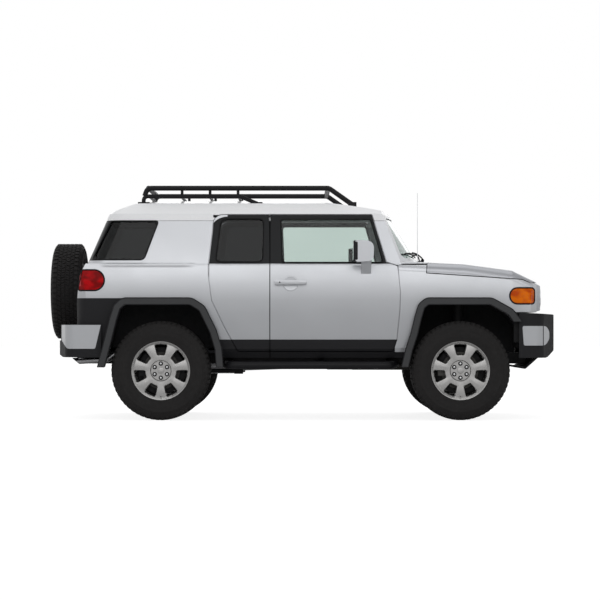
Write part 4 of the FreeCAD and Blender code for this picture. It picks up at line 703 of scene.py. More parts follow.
def tyre(work):
    """A tyre with ribbed walls and an all-terrain tread."""
    profile = [(radius, -y) for radius, y in WALL_PROFILE]
    profile += [(radius, y) for radius, y in reversed(WALL_PROFILE)]
    lathe(work, profile, 116, closed=True)
    for pitch in range(PITCHES):
        for side in (-1, 1):
            angle = PITCH * pitch + (0.0 if side > 0 else PITCH * 0.5)
            for half in (-1, 1):
                tread_block(work, angle + half * PITCH * 0.195, PITCH * 0.17,
                            *sorted((side * 0.004, side * 0.036)), 0.012 * side)
                tread_block(work, angle + PITCH * 0.5 + half * PITCH * 0.2, PITCH * 0.175,
                            *sorted((side * 0.042, side * 0.073)), -0.016 * side)
            shoulder_lug(work, angle + PITCH * 0.05, PITCH * 0.33, side, pitch % 2 == 0)
    for rib in range(PITCHES * 2):
        for side in (-1, 1):
            wall_rib(work, PITCH * rib / 2, side)


def tyre_slot(face):
    """Lighter rubber on the tread and shoulders, partly wear and partly a painted highlight for the lit tread;
    plain rubber on the walls.
    """
    middle = face.calc_center_median()
    face.material_index = int(math.hypot(middle.x, middle.y) > WORN_AND_LIT_FROM)


def place_tyre(name, node, turn, body):
    """Puts a modelled tyre in the place of a CAD tyre."""
    made = master_tyre.copy()
    made.transform(Matrix.Translation(box_of(node)[2]) @ turn)
    piece = finish_piece(name, made, rubber, body, sharp=30)
    made.materials.append(worn_and_lit_rubber.material)
    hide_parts(node)


ALONG_Y = Matrix.Rotation(math.radians(90), 4, "X")
ALONG_X = Matrix.Rotation(math.radians(90), 4, "Y")
TYRE_TURN = 0.37
WHEELS = {
    "front_right": ("wheel_front_right", -1), "front_left": ("wheel_front_left", 1),
    "rear_right": ("wheel_rear_right", -1), "rear_left": ("wheel_rear_left", 1),
}
master_tyre = mesh_from(tyre, tyre_slot)
for index, (place, (body, _)) in enumerate(WHEELS.items()):
    place_tyre(f"tread_{place}", f"tyre_{place}", ALONG_Y @ Matrix.Rotation(TYRE_TURN * index, 4, "Z"), body)
place_tyre("tread_spare", "spare_tyre", ALONG_X, "tailgate")

# Wheels: cast faces with seven spokes, barrels, hubs, nuts, caps, valves, brake discs and shields
RIM_RADIUS = 0.2625
FACE_LEVEL = 0.094
SPOKES = 7
WINDOW_IN, WINDOW_OUT = 0.138, 0.240
WINDOW_FOOT, WINDOW_HEAD = 0.033, 0.059
WINDOW_CORNER = 0.014
EDGE_RADIUS = 0.005
SPOKE_DEPTH = 0.034
DRAFT = 0.005
GROOVE, GROOVE_HALF, GROOVE_DEPTH = 0.092, 0.003, 0.009
HUB_SINK = 0.002
CROWN, CROWN_FROM, CROWN_REACH = 0.005, 0.1, 0.15
LIP_RISE, LIP_START = 0.008, 0.242
SPOKE_RISE, SPOKE_REACH = 0.003, 0.035
EDGE_STEPS = [0.0, 0.0005, 0.0017, 0.0035, 0.006]
WALL_NORMAL = 0.55
LIP_FROM = 0.2475


def window_half(radius):
    """Half the width of a window at a radius; its corners are round."""
    straight = WINDOW_FOOT + (WINDOW_HEAD - WINDOW_FOOT) * (radius - WINDOW_IN) / (WINDOW_OUT - WINDOW_IN)
    gap = min(radius - WINDOW_IN, WINDOW_OUT - radius)
    if gap < WINDOW_CORNER:
        straight -= WINDOW_CORNER - math.sqrt(max(0.0, WINDOW_CORNER ** 2 - (WINDOW_CORNER - gap) ** 2))
    return straight


CORNER_RADII = [WINDOW_CORNER * (1 - math.cos(math.radians(turn))) for turn in (0, 14, 28, 42, 56, 70, 90)]
WINDOW_RADII = ([WINDOW_IN + reach for reach in CORNER_RADII] + [0.160, 0.169, 0.180, 0.192, 0.204, 0.216]
                + [WINDOW_OUT - reach for reach in reversed(CORNER_RADII)])
FACE_RADII = ([0.020, 0.045, 0.070, 0.084, 0.0885, 0.0905, 0.092, 0.0935, 0.0955, 0.100, 0.110, 0.120]
              + [WINDOW_IN - reach for reach in reversed(EDGE_STEPS[1:])] + WINDOW_RADII
              + [WINDOW_OUT + reach for reach in EDGE_STEPS[1:]] + [0.248, 0.251])
WINDOW_EDGE = [Vector((side * window_half(radius), math.sqrt(radius ** 2 - window_half(radius) ** 2)))
               for side in (-1, 1) for radius in WINDOW_RADII]
for radius, flat in ((WINDOW_IN, WINDOW_FOOT), (WINDOW_OUT, WINDOW_HEAD)):
    reach = math.asin((flat - WINDOW_CORNER) / radius)
    WINDOW_EDGE += [Vector((radius * math.sin(reach * share), radius * math.cos(reach * share)))
                    for share in (-0.8, -0.6, -0.4, -0.2, 0, 0.2, 0.4, 0.6, 0.8)]


def face_height(radius, angle):
    """How far the face lies in front of the wheel's middle; the angle is from a window's middle."""
    level = FACE_LEVEL
    if radius < GROOVE:
        level -= HUB_SINK
    level -= GROOVE_DEPTH * max(0.0, 1 - abs(radius - GROOVE) / GROOVE_HALF)
    level += CROWN * math.sin(math.pi * min(1.0, max(0.0, (radius - CROWN_FROM) / CROWN_REACH)))
    if radius > LIP_START:
        level += LIP_RISE * min(1.0, (radius - LIP_START) / LIP_RISE)
    place = Vector((radius * math.sin(angle), radius * math.cos(angle)))
    gap = min((place - edge).length for edge in WINDOW_EDGE)
    level += SPOKE_RISE * min(1.0, gap / SPOKE_REACH)
    if gap < EDGE_RADIUS:
        level -= EDGE_RADIUS - math.sqrt(EDGE_RADIUS ** 2 - (EDGE_RADIUS - gap) ** 2)
    return level


def face_row(radius):
    """The angles of one row of points over a seventh of the face, from one window's middle to the next."""
    inside = min(max(radius, WINDOW_IN), WINDOW_OUT)
    opening = math.asin(window_half(inside) / inside)
    half_spoke = math.pi / SPOKES - opening
    edge = [opening + step / inside for step in EDGE_STEPS]
    rest = half_spoke - EDGE_STEPS[-1] / inside
    edge += [edge[-1] + rest * share for share in (0.2, 0.42, 0.68, 1.0)]
    window = [opening * share for share in (0.0, 0.25, 0.5, 0.75)]
    return window + edge


def wheel_face(work):
    """The cast face: front, back and the walls of its windows."""
    in_window = 4
    front, faces, places = {}, [], []

    def corner(spoke, column, row):
        angles = rows[row]
        turn = 2 * math.pi * spoke / SPOKES + (angles[column] if column >= 0 else -angles[-column])
        radius = FACE_RADII[row]
        place = (radius * math.sin(turn), radius * math.cos(turn), heights[row][abs(column)])
        key = (row, round(place[0], 5), round(place[1], 5))
        if key not in front:
            front[key] = len(places)
            places.append(place)
        return front[key]

    rows = [face_row(radius) for radius in FACE_RADII]
    heights = [[face_height(radius, angle) for angle in row] for radius, row in zip(FACE_RADII, rows)]
    last = len(rows[0]) - 1
    for spoke in range(SPOKES):
        for row in range(len(FACE_RADII) - 1):
            cut = WINDOW_IN - 1e-6 < FACE_RADII[row] and FACE_RADII[row + 1] < WINDOW_OUT + 1e-6
            for column in range(-last, last):
                if cut and -in_window <= column < in_window:
                    continue
                faces.append((corner(spoke, column, row), corner(spoke, column + 1, row),
                              corner(spoke, column + 1, row + 1), corner(spoke, column, row + 1)))
    faces.append(tuple(corner(spoke, column, 0) for spoke in range(SPOKES) for column in range(-last, last)))
    uses = {}
    for face in faces:
        for start, end in zip(face, face[1:] + face[:1]):
            uses.setdefault((min(start, end), max(start, end)), []).append((start, end))
    border = [pair[0] for pair in uses.values() if len(pair) == 1]
    on_border = {index for pair in border for index in pair}
    fronts = [work.verts.new(place) for place in places]
    backs = []
    for index, (x, y, _) in enumerate(places):
        if index in on_border and math.hypot(x, y) < WINDOW_OUT + 0.001:
            step = 2 * math.pi / SPOKES
            turn = round(math.atan2(x, y) / step) * step
            middle = Vector((math.sin(turn), math.cos(turn))) * (WINDOW_IN + WINDOW_OUT) / 2
            inward = (middle - Vector((x, y))).normalized() * DRAFT
            x, y = x + inward.x, y + inward.y
        backs.append(work.verts.new((x, y, FACE_LEVEL - SPOKE_DEPTH)))
    for face in faces:
        work.faces.new([fronts[index] for index in face])
        work.faces.new([backs[index] for index in reversed(face)])
    for start, end in border:
        work.faces.new((fronts[end], fronts[start], backs[start], backs[end]))


BARREL = [
    (0.246, 0.1055), (0.2535, 0.112), (0.2585, 0.117), (RIM_RADIUS, 0.1178), (RIM_RADIUS + 0.0006, 0.114),
    (0.2600, 0.104), (0.2560, 0.080), (0.2420, 0.060), (0.2400, -0.085), (0.2560, -0.100), (RIM_RADIUS, -0.117),
    (0.2560, -0.1165), (0.2500, -0.098), (0.2340, -0.080), (0.2350, 0.058), (0.2450, 0.082),
]
HUB_BACK = [(0.0, 0.061), (0.104, 0.061), (0.104, 0.055), (0.064, 0.050), (0.062, 0.028), (0.0, 0.028)]
SHIELD = [(0.166, 0.016), (0.212, 0.016), (0.212, 0.012), (0.166, 0.012)]
DISC = [
    (0.062, 0.030), (0.085, 0.030), (0.087, 0.0285), (0.167, 0.0285), (0.168, 0.027), (0.168, 0.018),
    (0.160, 0.017), (0.160, 0.011), (0.168, 0.010), (0.168, 0.001), (0.167, -0.0005), (0.090, -0.0005),
    (0.062, -0.0005),
]
NUTS = 6
NUT_CIRCLE = 0.0640
HUB_LEVEL = 0.0952
NUT_SEAT = [(0.0, 0.0006), (0.0165, 0.0006), (0.0178, 0.0022), (0.0192, 0.0022), (0.0205, -0.001)]
NUT = [(0.0, 0.013), (0.0062, 0.0128), (0.0095, 0.0105), (0.0118, 0.006), (0.0118, -0.002)]
CAP = [
    (0.0, 0.0075), (0.018, 0.0072), (0.0215, 0.0066), (0.0225, 0.0048), (0.0245, 0.0048), (0.0275, 0.0035),
    (0.0295, -0.001), (0.0295, -0.006),
]
VALVE_RADIUS = 0.232
VALVE = [(0.0, 0.016), (0.003, 0.016), (0.0042, 0.013), (0.0042, 0.003), (0.007, 0.0)]


def wheel(work):
    """The whole wheel about its own axis, its face towards +Z."""
    wheel_face(work)
    lathe(work, BARREL, 112, closed=True)
    lathe(work, HUB_BACK, 56)


def wheel_slot(face):
    """Painted shade: darker metal on the walls of the windows, standing in for the shade in their recesses;
    brighter metal on the rim's lip.
    """
    middle = face.calc_center_median()
    radius = math.hypot(middle.x, middle.y)
    steep = abs(face.normal.z) < WALL_NORMAL
    if steep and WINDOW_IN - EDGE_RADIUS < radius < WINDOW_OUT + EDGE_RADIUS:
        face.material_index = 1
    elif radius > LIP_FROM:
        face.material_index = 2


def dress_wheel(node, middle, outward, body, with_disc):
    """Puts a modelled wheel in the place of a node, with its nuts, cap, valve and brake disc."""
    outward = Vector(outward)
    upright = Vector((0, 0, 1))
    across = upright.cross(outward)
    made = master_wheel.copy()
    made.transform(Matrix.Translation(middle) @ Matrix((across, upright, outward)).transposed().to_4x4())
    piece = finish_piece(f"{node}_cast", made, alloy, body, sharp=32)
    made.materials.append(window_shade.material)
    made.materials.append(rim_lip.material)
    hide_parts(node)
    centre = middle + outward * HUB_LEVEL
    turned(f"{node}_cap", CAP, centre, outward, alloy, body, 40)
    for index in range(NUTS):
        angle = math.tau * index / NUTS
        place = centre + (upright * math.cos(angle) + across * math.sin(angle)) * NUT_CIRCLE
        turned(f"{node}_nut_seat_{index}", NUT_SEAT, place, outward, seat_black, body, 28)
        turned(f"{node}_nut_{index}", NUT, place, outward, chrome, body, 6, sharp=20)
    valve = middle - upright * VALVE_RADIUS + outward * (FACE_LEVEL + 0.002)
    turned(f"{node}_valve", VALVE, valve, outward, black_trim, body, 14)
    if with_disc:
        turned(f"{node}_shield", SHIELD, middle, outward, frame_coat, body, 72, closed=True)
        turned(f"{node}_disc", DISC, middle, outward, cast, body, 72, closed=True)


master_wheel = mesh_from(wheel, wheel_slot)
for place, (body, side) in WHEELS.items():
    dress_wheel(f"wheel_{place}", box_of(f"tyre_{place}")[2], (0, side, 0), body, True)
dress_wheel("spare_wheel", box_of("spare_tyre")[2], (-1, 0, 0), "tailgate", False)


# Window seals
def densely(outline, step):
    """An outline with extra points on its long sides."""
    made = []
    for index, corner in enumerate(outline):
        start, end = Vector(corner), Vector(outline[(index + 1) % len(outline)])
        count = max(1, int((end - start).length / step))
        made += [start.lerp(end, number / count) for number in range(count)]
    return made


def laid_on(skin, outline, side, lift, step):
    """Points just outside a skin for a closed outline in the side view."""
    hits = [skin.side(x, z, side) for x, z in densely(outline, step)]
    return [hit[0] + hit[1] * lift for hit in hits if hit]


DOOR_KINDS = ("front_door", "rear_door", "front_door_glass", "rear_door_glass")
DOOR_PARTS = [f"{kind}_{side_name}" for kind in DOOR_KINDS for side_name in SIDES]
cab_skin = Skin("body_shell", "roof_panel", *DOOR_PARTS, "fixed_rear_glass", "front_wings")
SEAL_RADIUS, SEAL_LIFT, SEAL_STEP = 0.0055, 0.0005, 0.03
SEALS = {
    "front_door": ([(-0.2695, 1.813), (0.542, 1.813), (0.654, 1.418), (-0.256, 1.418)], 0.02),
    "rear_door": ([(-0.4245, 1.817), (-0.808, 1.817), (-0.859, 1.423), (-0.4315, 1.423)], 0.05),
    "body": ([(-1.373, 1.797), (-1.808, 1.797), (-1.971, 1.443), (-1.501, 1.443)], 0.035),
}
for side_name, side in SIDES.items():
    for owner, (outline, radius) in SEALS.items():
        body = "body" if owner == "body" else f"{owner}_{side_name}"
        rounded = round_corners([(ahead(x), z) for x, z in outline], radius)
        row = laid_on(cab_skin, rounded, side, SEAL_LIFT, SEAL_STEP)
        tube(f"{owner}_seal_{side_name}", row, SEAL_RADIUS, rubber_seal, body, closed=True)

# Mirrors
MIRROR_REAR = 0.02
MIRROR_EDGE = 0.002
MIRROR_BLACK = 0.036
BACKWARD = (-1, 0, 0)
FORWARD = (1, 0, 0)
for side_name in SIDES:
    node = f"door_mirror_{side_name}"
    body = f"front_door_{side_name}"
    rear_x = box_of(node)[0].x
    rear = [vertex.co for vertex in NODES[node].data.vertices if vertex.co.x < rear_x + MIRROR_REAR]
    y_low, y_high = min(place.y for place in rear), max(place.y for place in rear)
    z_low, z_high = min(place.z for place in rear), max(place.z for place in rear)
    middle = Vector((rear_x, (y_low + y_high) / 2, (z_low + z_high) / 2))
    half_y, half_z = (y_high - y_low) / 2, (z_high - z_low) / 2
    grown = round_corners(box_outline(half_y + MIRROR_EDGE, half_z + MIRROR_EDGE), 0.022)
    plate(f"mirror_frame_{side_name}", grown, MIRROR_BLACK + 0.006, middle + Vector((MIRROR_BLACK, 0, 0)),
          BACKWARD, black_trim, body, 0.011)
    inner = round_corners(box_outline(half_y * 0.88, half_z * 0.86), 0.03)
    plate(f"mirror_glass_{side_name}", inner, 0.002, middle + Vector((-0.0058, 0, 0)), BACKWARD,
          mirror_glass, body, 0.0008)

# Door handles, their dishes and locks
DISH_X, DISH_Z = -0.180, 1.228
DISH = [(0.0, 0.0008), (0.045, 0.0010), (0.058, 0.0022), (0.064, 0.0034), (0.067, 0.0026), (0.069, 0.0)]
LOCK = [(0.0, 0.0022), (0.0055, 0.0020), (0.0068, 0.0008), (0.0068, -0.004)]
GRIP_HALF, GRIP_FRONT_HALF = 0.022, 0.0176
GRIP_END = 0.008
GRIP_DEPTH, GRIP_SINK, GRIP_RISE = 0.017, 0.014, 0.002
for side_name, side in SIDES.items():
    body = f"front_door_{side_name}"
    outward = (0, side, 0)
    place, normal = cab_skin.side(ahead(DISH_X), DISH_Z, side)
    turned(f"handle_dish_{side_name}", DISH, place, normal, silver, body, 48)
    low, high, middle = box_of(f"door_handle_{side_name}")
    reach = (high.x - low.x) / 2 + GRIP_END
    face = high.y if side > 0 else low.y
    level = middle.z + GRIP_RISE
    outline = round_corners([(-reach, -GRIP_HALF), (reach, -GRIP_FRONT_HALF), (reach, GRIP_FRONT_HALF),
                             (-reach, GRIP_HALF)], 0.02, 8)
    plate(f"handle_grip_{side_name}", outline, GRIP_DEPTH, (middle.x, face - side * GRIP_SINK, level), outward,
          silver, body, 0.006)
    turned(f"door_lock_{side_name}", LOCK, (low.x + 0.040, face + side * 0.003, level), outward, seat_black,
           body, 24)

# Seats: crowned cushions with bolsters and sewn channels, in the space of the CAD seats
SEAM_WIDTH, SEAM_DEPTH = 0.028, 0.007
SIDE_SEAM, CHANNEL_END = 0.62, 0.64
PAD_CROWN, PAD_TUCK = 0.012, 0.03
BOLSTER_FROM, BOLSTER_REACH = 0.60, 0.14
WELT_LEVEL, WELT_WIDTH, WELT_DEPTH = 0.55, 0.05, 0.012
UPRIGHT = math.radians(90)
SEAT_SINK, BACK_SHARE, REST_HALF = 0.006, 0.97, 0.105
SEAT_CHANNELS, BACK_CHANNELS = (-0.45, -0.1, 0.25, 0.6), (-0.6, -0.25, 0.1, 0.45)


def dip(distance, width):
    """1 on a line, fading to 0 away from it."""
    return math.exp(-(distance / width) ** 2)


def cushion(work, middle, halves, lean, bolster=0.02, channels=(), cuts=26, square=5.0):
    """A crowned pad: halves are its half sizes along x, y and z, its show side faces up before it leans."""
    turn = Matrix.Rotation(lean, 3, "Y")
    start = len(work.verts)
    bmesh.ops.create_cube(work, size=2.0)
    edges = list({edge for vertex in work.verts[:][start:] for edge in vertex.link_edges})
    bmesh.ops.subdivide_edges(work, edges=edges, cuts=cuts, use_grid_fill=True)
    for vertex in work.verts[:][start:]:
        u, v, w = vertex.co
        size = max(abs(u), abs(v), abs(w))
        norm = (abs(u) ** square + abs(v) ** square + abs(w) ** square) ** (1 / square)
        u, v, w = (value * size / norm for value in (u, v, w))
        place = Vector((u * halves[0], v * halves[1], w * halves[2]))
        if w > 0:
            place.z += PAD_CROWN * (1 - u * u) * (1 - v * v) * w
            place.z += bolster * w * min(1.0, max(0.0, (abs(v) - BOLSTER_FROM) / BOLSTER_REACH))
        place.x *= 1 - PAD_TUCK * (1 - v * v)
        place.y *= 1 - PAD_TUCK * (1 - u * u)
        seams = [dip(u - line, SEAM_WIDTH) for line in channels if abs(v) < CHANNEL_END]
        if bolster:
            seams.append(dip(abs(v) - SIDE_SEAM, SEAM_WIDTH))
        if w > 0.3:
            place.z -= SEAM_DEPTH * max(seams, default=0.0)
        welt = WELT_DEPTH * dip(w - WELT_LEVEL, WELT_WIDTH)
        place.x *= 1 - welt
        place.y *= 1 - welt
        vertex.co = turn @ place + Vector(middle)


def in_box(box, y):
    """The middle of a seat's box at a place across, its half length, its half height and its lean."""
    low, high, floor, top, lean = box
    return ((low + high) / 2, y, (floor + top) / 2), (high - low) / 2, (top - floor) / 2, lean


def seat_pads(work, places, half_y, seat_box, back_box, rest_box):
    """A row of seats: cushion, leaning back and head rest; a box is x low, x high, z low, z high and lean."""
    for y in places:
        middle, half_x, half_z, lean = in_box(seat_box, y)
        cushion(work, middle, (half_x, half_y, half_z - SEAT_SINK), lean, channels=SEAT_CHANNELS)
        middle, half_x, half_z, lean = in_box(back_box, y)
        cushion(work, middle, (half_z, half_y * BACK_SHARE, half_x), UPRIGHT + lean, channels=BACK_CHANNELS)
        middle, half_x, half_z, lean = in_box(rest_box, y)
        cushion(work, middle, (half_z, REST_HALF, half_x), UPRIGHT + lean, bolster=0.0, cuts=14, square=4.0)


BASE_EDGE_X, BASE_EDGE_Y = 0.07, 0.05
BASE_LOW, BASE_HIGH = 0.628, 0.795
SEATS = {
    "front_seats": ((-0.372, 0.372), 0.245, (-0.185, 0.315, 0.79, 0.905, -0.05),
                    (-0.290, -0.160, 0.86, 1.395, -0.18), (-0.315, -0.225, 1.405, 1.528, -0.1)),
    "rear_seat": ((-0.275, 0.275), 0.272, (-0.955, -0.485, 0.80, 0.915, -0.05),
                  (-1.050, -0.925, 0.87, 1.365, -0.16), (-1.066, -0.985, 1.378, 1.498, -0.1)),
}
for node, seat_row in SEATS.items():
    places, half_y, seat_box, _, rest_box = seat_row
    made = mesh_from(lambda work: seat_pads(work, *seat_row))
    pads = finish_piece(f"{node}_pads", made, cloth, "body", sharp=60)
    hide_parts(node)
    for index, y in enumerate(places):
        soft_box(f"{node}_base_{index}", (seat_box[0] + BASE_EDGE_X, y - half_y + BASE_EDGE_Y, BASE_LOW),
                 (seat_box[1] - BASE_EDGE_X, y + half_y - BASE_EDGE_Y, BASE_HIGH), 0.02, cabin_black, "body")
        for side_name, side in SIDES.items():
            foot = Vector(((rest_box[0] + rest_box[1]) / 2 + 0.012, y + side * 0.05, rest_box[2] - 0.05))
            tube(f"{node}_post_{index}_{side_name}", [foot, foot + Vector((-0.008, 0, 0.09))], 0.006, chrome,
                 "body")


# Lamp surrounds
def true_corners(points, radii, steps=8):
    """A closed flat outline whose corners are arcs of their own radii."""
    made = []
    for index, radius in enumerate(radii):
        corner = Vector(points[index])
        back = (Vector(points[index - 1]) - corner).normalized()
        on = (Vector(points[(index + 1) % len(points)]) - corner).normalized()
        half = back.angle(on) / 2
        middle = corner + (back + on).normalized() * radius / math.sin(half)
        start = corner + back * radius / math.tan(half) - middle
        end = corner + on * radius / math.tan(half) - middle
        for step in range(steps + 1):
            made.append(middle + start.lerp(end, step / steps).normalized() * radius)
    return made


body_skin = Skin("body_shell", "front_wings", "front_mask", "corner_lamps", "tail_lamps")
LAMP_RIM_RADIUS, LAMP_RIM_LIFT, LAMP_RIM_STEP = 0.0070, 0.001, 0.02
LAMP_RIM_GAP = 0.003
# For each lamp: how far its rim's four corners lie ahead of the lamp's box, and their radii
LAMP_RIMS = {
    "tail_lamp": ((0.006, 0.003, 0.003, 0.006), (0.02, 0.091, 0.091, 0.02)),
    "corner_lamp": ((0.006, -0.010, -0.010, -0.003), (0.069, 0.03, 0.03, 0.069)),
}
for side_name, side in SIDES.items():
    for lamp, (shifts, radii) in LAMP_RIMS.items():
        low, high, _ = box_of(f"{lamp}s")
        foot, head = low.z - LAMP_RIM_GAP, high.z + LAMP_RIM_GAP
        corners = zip((low.x, high.x, high.x, low.x), shifts, (foot, foot, head, head))
        rounded = true_corners([(x + shift, z) for x, shift, z in corners], radii)
        row = laid_on(body_skin, rounded, side, LAMP_RIM_LIFT, LAMP_RIM_STEP)
        tube(f"{lamp}_rim_{side_name}", row, LAMP_RIM_RADIUS, rubber_seal, "body", closed=True)

# The tailgate's handle, on the side away from its hinges
HANDLE_Y, HANDLE_Z = -0.505, 1.06
HANDLE_ROW = [(-0.004, -0.070), (-0.022, -0.055), (-0.026, 0.0), (-0.022, 0.055), (-0.004, 0.070)]
place, _ = Skin("tailgate", "rear_bumper").rear(HANDLE_Y, HANDLE_Z)
plate("tailgate_handle_cup", round_corners(box_outline(0.028, 0.085), 0.012), 0.004,
      place + Vector((0.001, 0, 0)), BACKWARD, seat_black, "tailgate", 0.001)
tube("tailgate_handle", smooth_row([place + Vector((reach, 0, height)) for reach, height in HANDLE_ROW]), 0.008,
     black_trim, "tailgate")


# Beads along the edges of the arch flares, and fillers between flare and bumper
def face_loops(node, side, inset):
    """The edge loops of a node's outermost side face, as rows of points."""
    mesh = NODES[node].data
    limit = max(side * vertex.co.y for vertex in mesh.vertices) - inset
    count, places = {}, mesh.vertices
    for polygon in mesh.polygons:
        outermost = all(side * places[index].co.y > limit for index in polygon.vertices)
        if side * polygon.normal.y > 0.9 and outermost:
            for pair in polygon.edge_keys:
                count[pair] = count.get(pair, 0) + 1
    linked = {}
    for (start, end), uses in count.items():
        if uses == 1:
            linked.setdefault(start, []).append(end)
            linked.setdefault(end, []).append(start)
    rows = []
    while linked:
        here = min(linked)
        row = [here]
        while linked.get(here):
            after = linked[here].pop()
            linked[after].remove(here)
            row.append(after)
            here = after
        linked = {key: value for key, value in linked.items() if value}
        rows.append([places[index].co.copy() for index in row[:-1]])
    return rows


BEAD_RADIUS = 0.0045
FILLER_X, FILLER_Y, FILLER_Z = (1.898, 1.952), (0.838, 0.884), (0.700, 0.968)
for side_name, side in SIDES.items():
    for index, row in enumerate(face_loops("arch_flares", side, 0.012)):
        tube(f"flare_bead_{side_name}_{index}", row, BEAD_RADIUS, black_trim, "body", closed=True)
    y_low, y_high = sorted(side * y for y in FILLER_Y)
    soft_box(f"arch_filler_{side_name}", (FILLER_X[0], y_low, FILLER_Z[0]), (FILLER_X[1], y_high, FILLER_Z[1]),
             0.006, soft_black, "body")

# Bars that close the front bumper's corners from inside
CORNER_BAR = 0.0075
CORNER_BACK, CORNER_Y = 0.1645, 0.865
CORNER_FOOT, CORNER_HEAD = 0.566, 0.955
for side_name, side in SIDES.items():
    foot = Vector((box_of("front_bumper")[1].x - CORNER_BACK, side * CORNER_Y, CORNER_FOOT))
    tube(f"bumper_corner_bar_{side_name}", [foot, foot + Vector((0, 0, CORNER_HEAD - CORNER_FOOT))], CORNER_BAR,
         black_trim, "body")

# Windscreen wipers
BLADE_STEPS = 8
PIVOT_X, PIVOT_Z = 1.030, 1.437
BLADE_START = 0.20
BLADE_Z, BLADE_ARCH, BLADE_TILT, BLADE_LIFT = 1.475, 0.018, 0.012, 0.012
WIPERS = {"right": (-0.36, -0.74), "left": (0.20, -0.24)}
WIPER_PIVOT = [(0.0, 0.03), (0.010, 0.028), (0.016, 0.018), (0.017, -0.02)]
screen = Skin("windscreen", "body_shell", "cowl_panel")
for name, (pivot_y, end_y) in WIPERS.items():
    pivot = Vector((ahead(PIVOT_X), pivot_y, PIVOT_Z))
    start_y = pivot_y + BLADE_START
    blade = []
    for step in range(BLADE_STEPS + 1):
        share = step / BLADE_STEPS
        z = BLADE_Z + BLADE_ARCH * math.sin(math.pi * share) + BLADE_TILT * share
        place, normal = screen.front(start_y + (end_y - start_y) * share, z)
        blade.append(place + normal * BLADE_LIFT)
    tube(f"wiper_blade_{name}", blade, 0.006, rubber_seal, "body")
    spine = [item + Vector((0.010, 0, 0.008)) for item in blade[1:-1]]
    tube(f"wiper_spine_{name}", spine, 0.0045, black_trim, "body")
    middle = blade[BLADE_STEPS // 2] + Vector((0.022, 0, 0.014))
    arm = [pivot, pivot + Vector((0.006, -0.03, 0.022)),
           middle.lerp(pivot, 0.4) + Vector((0.012, 0, 0.018)), middle]
    tube(f"wiper_arm_{name}", smooth_row(arm), 0.0065, black_trim, "body")
    turned(f"wiper_pivot_{name}", WIPER_PIVOT, pivot, (0.35, 0, 0.94), black_trim, "body", 24)

# Headlamps
LAMP_INSET = 0.092
LAMP_BOWL = [
    (0.012, -0.070), (0.030, -0.066), (0.060, -0.050), (0.082, -0.022), (0.0885, -0.012), (0.0865, -0.012),
    (0.080, -0.022), (0.058, -0.052), (0.028, -0.068), (0.012, -0.0715),
]
LAMP_BULB = [
    (0.0, -0.025), (0.008, -0.027), (0.011, -0.034), (0.011, -0.060), (0.014, -0.064), (0.014, -0.070),
]
LAMP_RING = [
    (0.0925, -0.030), (0.0925, 0.004), (0.096, 0.008), (0.101, 0.006), (0.105, -0.002), (0.106, -0.030),
]
low, high, _ = box_of("headlamps")
for side_name, side in SIDES.items():
    place = Vector((high.x, side * (high.y - LAMP_INSET), (low.z + high.z) / 2))
    turned(f"headlamp_bowl_{side_name}", LAMP_BOWL, place, FORWARD, chrome, "body", 64, closed=True)
    turned(f"headlamp_bulb_{side_name}", LAMP_BULB, place, FORWARD, lamp_core, "body", 24)
    turned(f"headlamp_ring_{side_name}", LAMP_RING, place - Vector((0.004, 0, 0)), FORWARD, chrome, "body", 64,
           closed=True)

# Back and bars behind the opening of the front bumper
INLET_HALF = 0.40
INLET_BARS, INLET_FOOT, INLET_STEP = 7, 0.62, 0.035
plate("lower_grille_back", box_outline(INLET_HALF + 0.02, 0.125), 0.006, (2.082, 0, 0.72), FORWARD, soft_black,
      "body")
for index in range(INLET_BARS):
    z = INLET_FOOT + INLET_STEP * index
    tube(f"lower_grille_bar_{index}", [(2.094, -INLET_HALF, z), (2.094, INLET_HALF, z)], 0.005, black_trim,
         "body")

# Ribs behind the grille's bars
RIBS = 9
low, high, _ = box_of("grille")
for index in range(RIBS):
    x = low.x + 0.008
    y = low.y + (high.y - low.y) * (index + 0.5) / RIBS
    tube(f"grille_rib_{index}", [(x, y, low.z + 0.012), (x, y, high.z - 0.012)], 0.0035, black_trim, "body")

# Floor
FLOOR_GLOW = 0.84
FLOOR_SHARE = 0.40
FLOOR_REACH = 60.0
paving = Material("floor", seen(252, 252, 252), rough=0.9)
paving.vary(0.6, 0.004)
camera_ray = paving.add("ShaderNodeLightPath").outputs["Is Camera Ray"]
paving.show(paving.mix(camera_ray, paving.base, blend_colour(paving.colour, FLOOR_SHARE)))
paving.constant("Emission Color", (1, 1, 1, 1))
paving.link(paving.math("MULTIPLY", camera_ray, FLOOR_GLOW), paving.shader.inputs["Emission Strength"])
floor_mesh = mesh_from(lambda work: bmesh.ops.create_grid(work, x_segments=1, y_segments=1, size=FLOOR_REACH))
floor = bpy.data.objects.new("floor", floor_mesh)
floor.location.z = -0.0005
bpy.context.scene.collection.objects.link(floor)
floor_mesh.materials.append(paving.material)

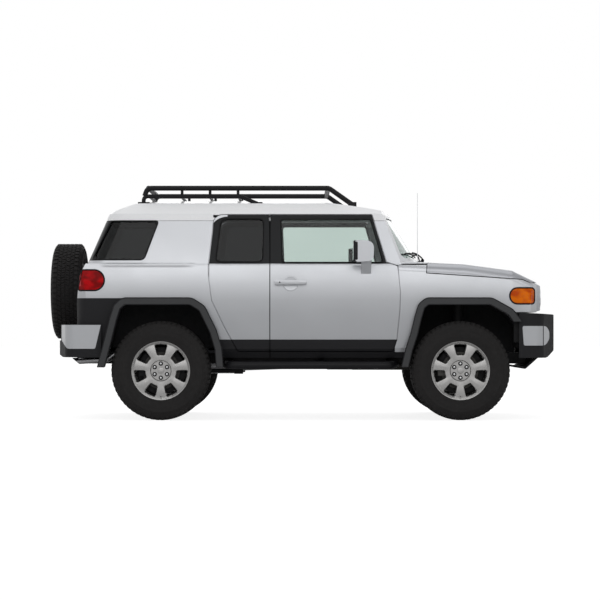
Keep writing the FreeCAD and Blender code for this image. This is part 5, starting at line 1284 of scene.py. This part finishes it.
# Surroundings: white for the camera and through glass, dimmer overhead in reflections, soft as a light
WORLD_LIGHT = 0.42
CEILING_SHARE = 0.25
CEILING_FROM, CEILING_TO = math.sin(math.radians(25)), math.sin(math.radians(60))
world = bpy.data.worlds.new("studio")
bpy.context.scene.world = world
world.use_nodes = True
studio = NodeTree(world.node_tree)
rays = studio.add("ShaderNodeLightPath").outputs
upward = studio.along(studio.add("ShaderNodeTexCoord").outputs["Generated"], "Z")
ceiling = studio.spread(upward, 1.0, CEILING_SHARE, CEILING_FROM, CEILING_TO)
seen_white = studio.math("MAXIMUM", rays["Is Camera Ray"], rays["Is Transmission Ray"])
white_share = studio.math("MAXIMUM", seen_white, studio.math("MULTIPLY", rays["Is Glossy Ray"], ceiling))
sky = studio.tree.nodes["Background"]
sky.inputs["Color"].default_value = (1, 1, 1, 1)
studio.link(studio.spread(white_share, WORLD_LIGHT, 1.0, 0.0, 1.0), sky.inputs["Strength"])


# Lights
def area_light(name, place, target, width, height, power):
    """A soft rectangular lamp aimed at a point."""
    data = bpy.data.lights.new(name, "AREA")
    data.shape = "RECTANGLE"
    data.size = width
    data.size_y = height
    data.energy = power
    lamp = bpy.data.objects.new(name, data)
    lamp.location = place
    lamp.rotation_euler = (Vector(target) - Vector(place)).to_track_quat("-Z", "Y").to_euler()
    bpy.context.scene.collection.objects.link(lamp)


area_light("overhead", (-0.5, 0.0, 7.5), (-0.5, 0, 0), 9, 6, 150)
area_light("near_side", (0.5, -9.5, 4.8), (0, 0, 1.0), 10, 4, 132)
area_light("far_side", (-0.5, 9.5, 4.8), (0, 0, 1.0), 10, 4, 110)

# Camera
CAMERA_X, CAMERA_DISTANCE, CAMERA_HEIGHT = -0.0685, 19.95, 0.855
camera_data = bpy.data.cameras.new("camera")
camera_data.sensor_width = 36.0
camera_data.lens = 127.3
camera_data.shift_x = -0.005
camera_data.shift_y = 0.0417
camera_data.clip_end = 200.0
camera = bpy.data.objects.new("camera", camera_data)
camera.location = (ahead(CAMERA_X), -CAMERA_DISTANCE, CAMERA_HEIGHT)
camera.rotation_euler = (math.radians(90), 0, 0)
bpy.context.scene.collection.objects.link(camera)
bpy.context.scene.camera = camera
bpy.context.scene.view_settings.view_transform = "Standard"
